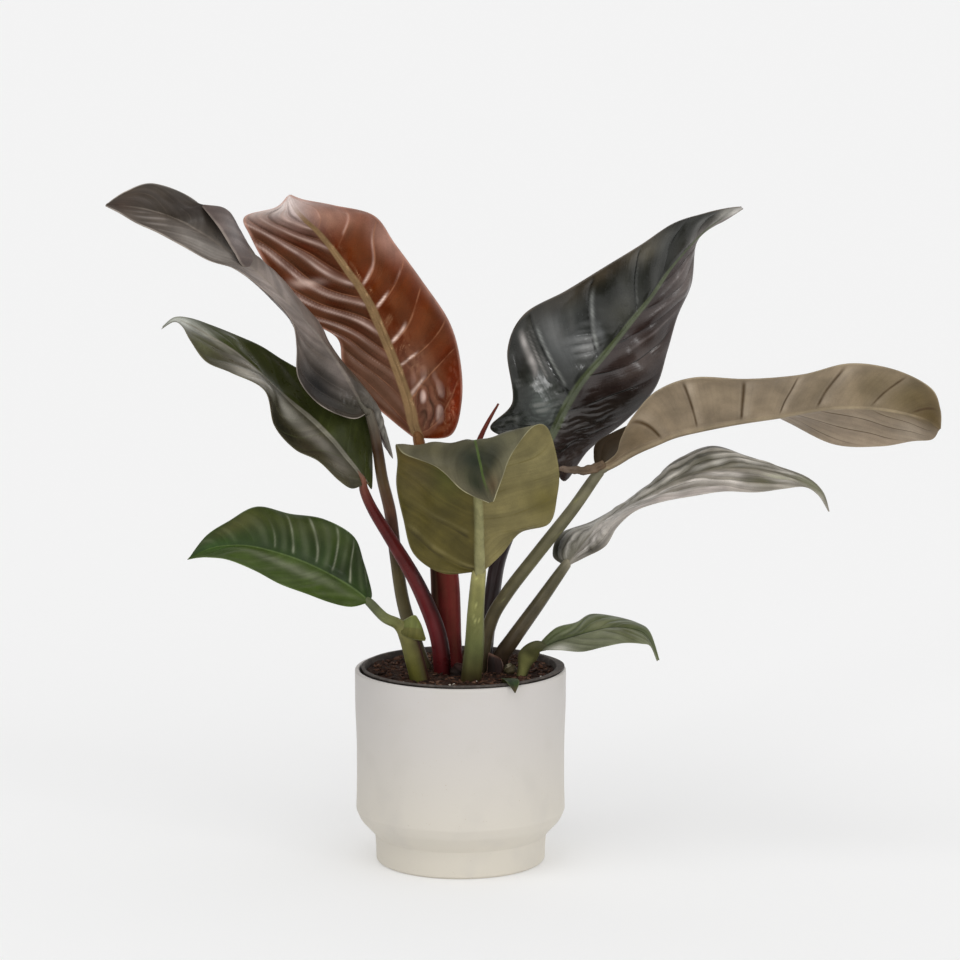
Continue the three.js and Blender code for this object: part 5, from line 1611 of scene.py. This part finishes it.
lip_under = LIP_TOP - LIP_DEEP
LINER_PROFILE = [
    (0, LINER_LOW), (liner_radius(LINER_LOW), LINER_LOW, 1), (liner_radius(lip_under), lip_under - 0.2, 0.4),
    (LIP_RADIUS, lip_under, 0.5), (LIP_RADIUS, LIP_TOP - 0.5, 0.4), (LIP_RADIUS - 0.6, LIP_TOP, 0.4),
    (liner_radius(LIP_TOP) - LINER_WALL, LIP_TOP - 0.2, 0.5),
    (liner_radius(LIP_TOP) - LINER_WALL - 0.4, LIP_TOP - 2.4, 1),
    (liner_radius(LINER_LOW) - LINER_WALL, LINER_LOW + LINER_WALL, 1), (0, LINER_LOW + LINER_WALL),
]
LINER_SIDES = 180
nursery_pot = make_piece("nursery_pot", [spun(eased(LINER_PROFILE, bends=4), LINER_SIDES, sagging_lip)])
stand_for(nursery_pot, "liner")

# %%  Scuffed plastic, dusty in patches
PLASTIC = (0.070, 0.060, 0.054, 1)
PLASTIC_DUST = (0.170, 0.145, 0.125, 1)
DUST_SCALE, WORN_SCALE, SCUFF_SCALE = 240, 120, 700

plastic = Finish("scuffed_nursery_plastic", specular=0.2)
dusty = plastic.mix(plastic.ramp(plastic.noise(DUST_SCALE, 4.0), 0.45, 0.9), PLASTIC, PLASTIC_DUST)
plastic.feed(plastic.surface["Base Color"], dusty)
plastic.feed(plastic.surface["Roughness"], plastic.ramp(plastic.noise(WORN_SCALE), -1.2, 1.0))
plastic.raise_relief(plastic.ramp(plastic.noise(SCUFF_SCALE, 3.0), 0, 1), strength=0.3, distance=0.0002)
nursery_pot.data.materials.append(plastic.material)
print("plastic of", len(plastic.nodes), "nodes")

# %% [markdown]
# ## Potting mix
# The root ball is coir and peat: a dark crumbly ground, reddish-brown husk fibres and chips on top, and a
# few white grains that keep it airy. The ground is a disc raised by waves, and the bits are scattered
# over it by seeded dice, so that every run throws them the same way.

# %%  The ground of the mix
SOIL_TOP, SOIL_BOTTOM = 153.6, 10.1
SOIL_WAVES = [(0.21, 0.08, 1.3), (-0.11, 0.27, 4.1), (0.37, -0.19, 2.2), (0.05, 0.48, 0.4)]
SOIL_RELIEF, SOIL_DOME = 1.5, 0.6
SOIL_EDGE = liner_radius(SOIL_TOP) - LINER_WALL - 0.5


def soil_height(x, y):
    swell = sum(np.sin(a * x + b * y + c) for a, b, c in SOIL_WAVES) / len(SOIL_WAVES)
    return SOIL_TOP - SOIL_DOME * (np.hypot(x, y) / SOIL_EDGE) ** 2 + SOIL_RELIEF * swell


SOIL_RINGS, SOIL_SIDES, LEVEL_FROM = 60, 150, 0.97
SOIL_CRUMBS, CRUMB_SIZE, CRUMB_SEED = 0.7, 5, 61
reach = np.sqrt(np.linspace(0.0003, 1, SOIL_RINGS))
soil_angle = 2 * math.pi * np.arange(SOIL_SIDES) / SOIL_SIDES
soil_x = SOIL_EDGE * reach[:, None] * np.cos(soil_angle)
soil_y = SOIL_EDGE * reach[:, None] * np.sin(soil_angle)
ground = np.stack([soil_x, soil_y, soil_height(soil_x, soil_y)], axis=-1)
crumbly = smooth_step(1, LEVEL_FROM, reach)[:, None]
ground[..., 2] += SOIL_CRUMBS * ripples(ground, CRUMB_SIZE, CRUMB_SEED) * crumbly
print("mix of", ground.shape, "points")

# %%  Close the root ball below, and tone it
FOOT_SHARE = 0.74
SHEEN_ON_SOIL = 0.005
SOIL_TONE = (58, 43, 36)
CRUMB_TONES, CRUMB_TONE_SIZE, CRUMB_TONE_MOST = 0.35, 7, 1.5
ball_foot = np.stack([FOOT_SHARE * ground[-1, :, 0], FOOT_SHARE * ground[-1, :, 1],
                      np.full(SOIL_SIDES, SOIL_BOTTOM)], axis=-1)
places = np.concatenate([ball_foot[None], ground[::-1]])
crumbs = np.clip(ripples(places, CRUMB_TONE_SIZE, CRUMB_SEED + 1), -CRUMB_TONE_MOST, CRUMB_TONE_MOST)
crumb_tone = 1 + CRUMB_TONES * crumbs
ground_rgb = pigment(SOIL_TONE, SHEEN_ON_SOIL) * crumb_tone[..., None]
soil_ends = np.array([[0, 0, SOIL_BOTTOM], [0, 0, soil_height(0.0, 0.0)]])
soil_parts = [ring_faces(places, soil_ends, ground_rgb, dull=0.9)]
print("root ball of", len(soil_parts[0]["points"]), "points")

# %%  How a bit is thrown, turned and cut
BOX_CORNERS = np.array([(x, y, z) for x in (-1, 1) for y in (-1, 1) for z in (-1, 1)], float)
BOX_FACES = [(0, 1, 3, 2), (4, 6, 7, 5), (0, 4, 5, 1), (2, 3, 7, 6), (0, 2, 6, 4), (1, 5, 7, 3)]
CHIPPED = (0.65, 1.0)
dice = np.random.default_rng(77)


def thrown(count, rim=0.97):
    angle = dice.uniform(0, 2 * math.pi, count)
    radius = SOIL_EDGE * rim * np.sqrt(dice.uniform(0, 1, count))
    return np.stack([radius * np.cos(angle), radius * np.sin(angle)], axis=-1)


def turned(tilt_deg):
    turn, lean, roll = dice.uniform(0, 2 * math.pi), *np.radians(dice.normal(0, tilt_deg, 2))
    return np.array(Matrix.Rotation(turn, 3, "Z") @ Matrix.Rotation(lean, 3, "X")
                    @ Matrix.Rotation(roll, 3, "Y"))


def chip(x, y, above, size, tone, tilt_deg=18):
    corners = BOX_CORNERS * dice.uniform(*CHIPPED, (8, 3)) * np.array(size) / 2
    points = corners @ turned(tilt_deg).T + (x, y, soil_height(x, y) + above)
    tones = np.tile(pigment(tone, SHEEN_ON_SOIL), (8, 1))
    return dict(points=points, faces=BOX_FACES, pigment=tones, dull=0.85)


# %%  Chips and white grains
CHIP_TONES = [(78, 54, 44), (96, 68, 54), (62, 44, 36), (116, 88, 72), (50, 37, 31)]
CHIP_LEAST, CHIP_MOST = [1.6, 1.2, 0.6], [7.0, 3.8, 2.2]
GRAIN_TONE = (214, 208, 196)
CHIPS, HIDDEN_GRAINS = 620, 7
SEEN_GRAINS = [(-19, -52), (-10, -66), (-5, -58), (-8, -62)]

for x, y in thrown(CHIPS):
    size = dice.uniform(CHIP_LEAST, CHIP_MOST)
    tone = CHIP_TONES[dice.integers(len(CHIP_TONES))]
    soil_parts.append(chip(x, y, 0.35, size, tone))
for x, y in [*SEEN_GRAINS, *thrown(HIDDEN_GRAINS)]:
    soil_parts.append(chip(x, y, 0.7, [dice.uniform(1.0, 2.0)] * 3, GRAIN_TONE, tilt_deg=60))
print("with chips and grains", len(soil_parts), "parts")

# %%  Fibres
FIBRES, FIBRE_LENGTHS = 170, (5, 13)
FIBRE_HALF, FIBRE_ABOVE = 0.22, 0.9
SIDE_BOW, LIFT_BOW = 2.2, 0.5

for x, y in thrown(FIBRES, rim=0.93):
    way = turned(tilt_deg=10)
    bow = dice.uniform(-1, 1, 2)
    length = dice.uniform(*FIBRE_LENGTHS)
    curve = [np.array([x, y, soil_height(x, y) + FIBRE_ABOVE])
             + way @ np.array([length * (f - 0.5), SIDE_BOW * bow[0] * math.sin(math.pi * f),
                               LIFT_BOW * bow[1] * f])
             for f in (0, 0.33, 0.67, 1)]
    fibre = [(*p, FIBRE_HALF, FIBRE_HALF) for p in curve]
    tone = CHIP_TONES[dice.integers(4)]
    soil_parts.append(rod_part(fibre, [(0, tone), (1, tone)], steps=1, sides=5, flutes=0, dull=0.8))
mix = make_piece("potting_mix", soil_parts)
stand_for(mix, "soil")

# %%  Grit in the finish of the mix
GRIT_DARK, GRIT_LIGHT = (0.35, 0.3, 0.28, 1), (1, 1, 1, 1)
GRIT_SHARE = 0.55

earth = Finish("coir_and_peat", specular=0.2)
grit = earth.ramp(earth.noise(1100, 4.0), 0.3, 0.75)
gritty = earth.mix(GRIT_SHARE, earth.mark("pigment", "Color"), earth.mix(grit, GRIT_DARK, GRIT_LIGHT),
                   "MULTIPLY")
earth.feed(earth.surface["Base Color"], gritty)
earth.surface["Roughness"].default_value = 0.9
earth.raise_relief(grit, strength=0.8, distance=0.0006)
mix.data.materials.append(earth.material)
print("earth of", len(earth.nodes), "nodes")

# %% [markdown]
# ## Finish
# The dressed part has to stay the size of its CAD model.

# %% Update the scene
bpy.context.view_layer.update()
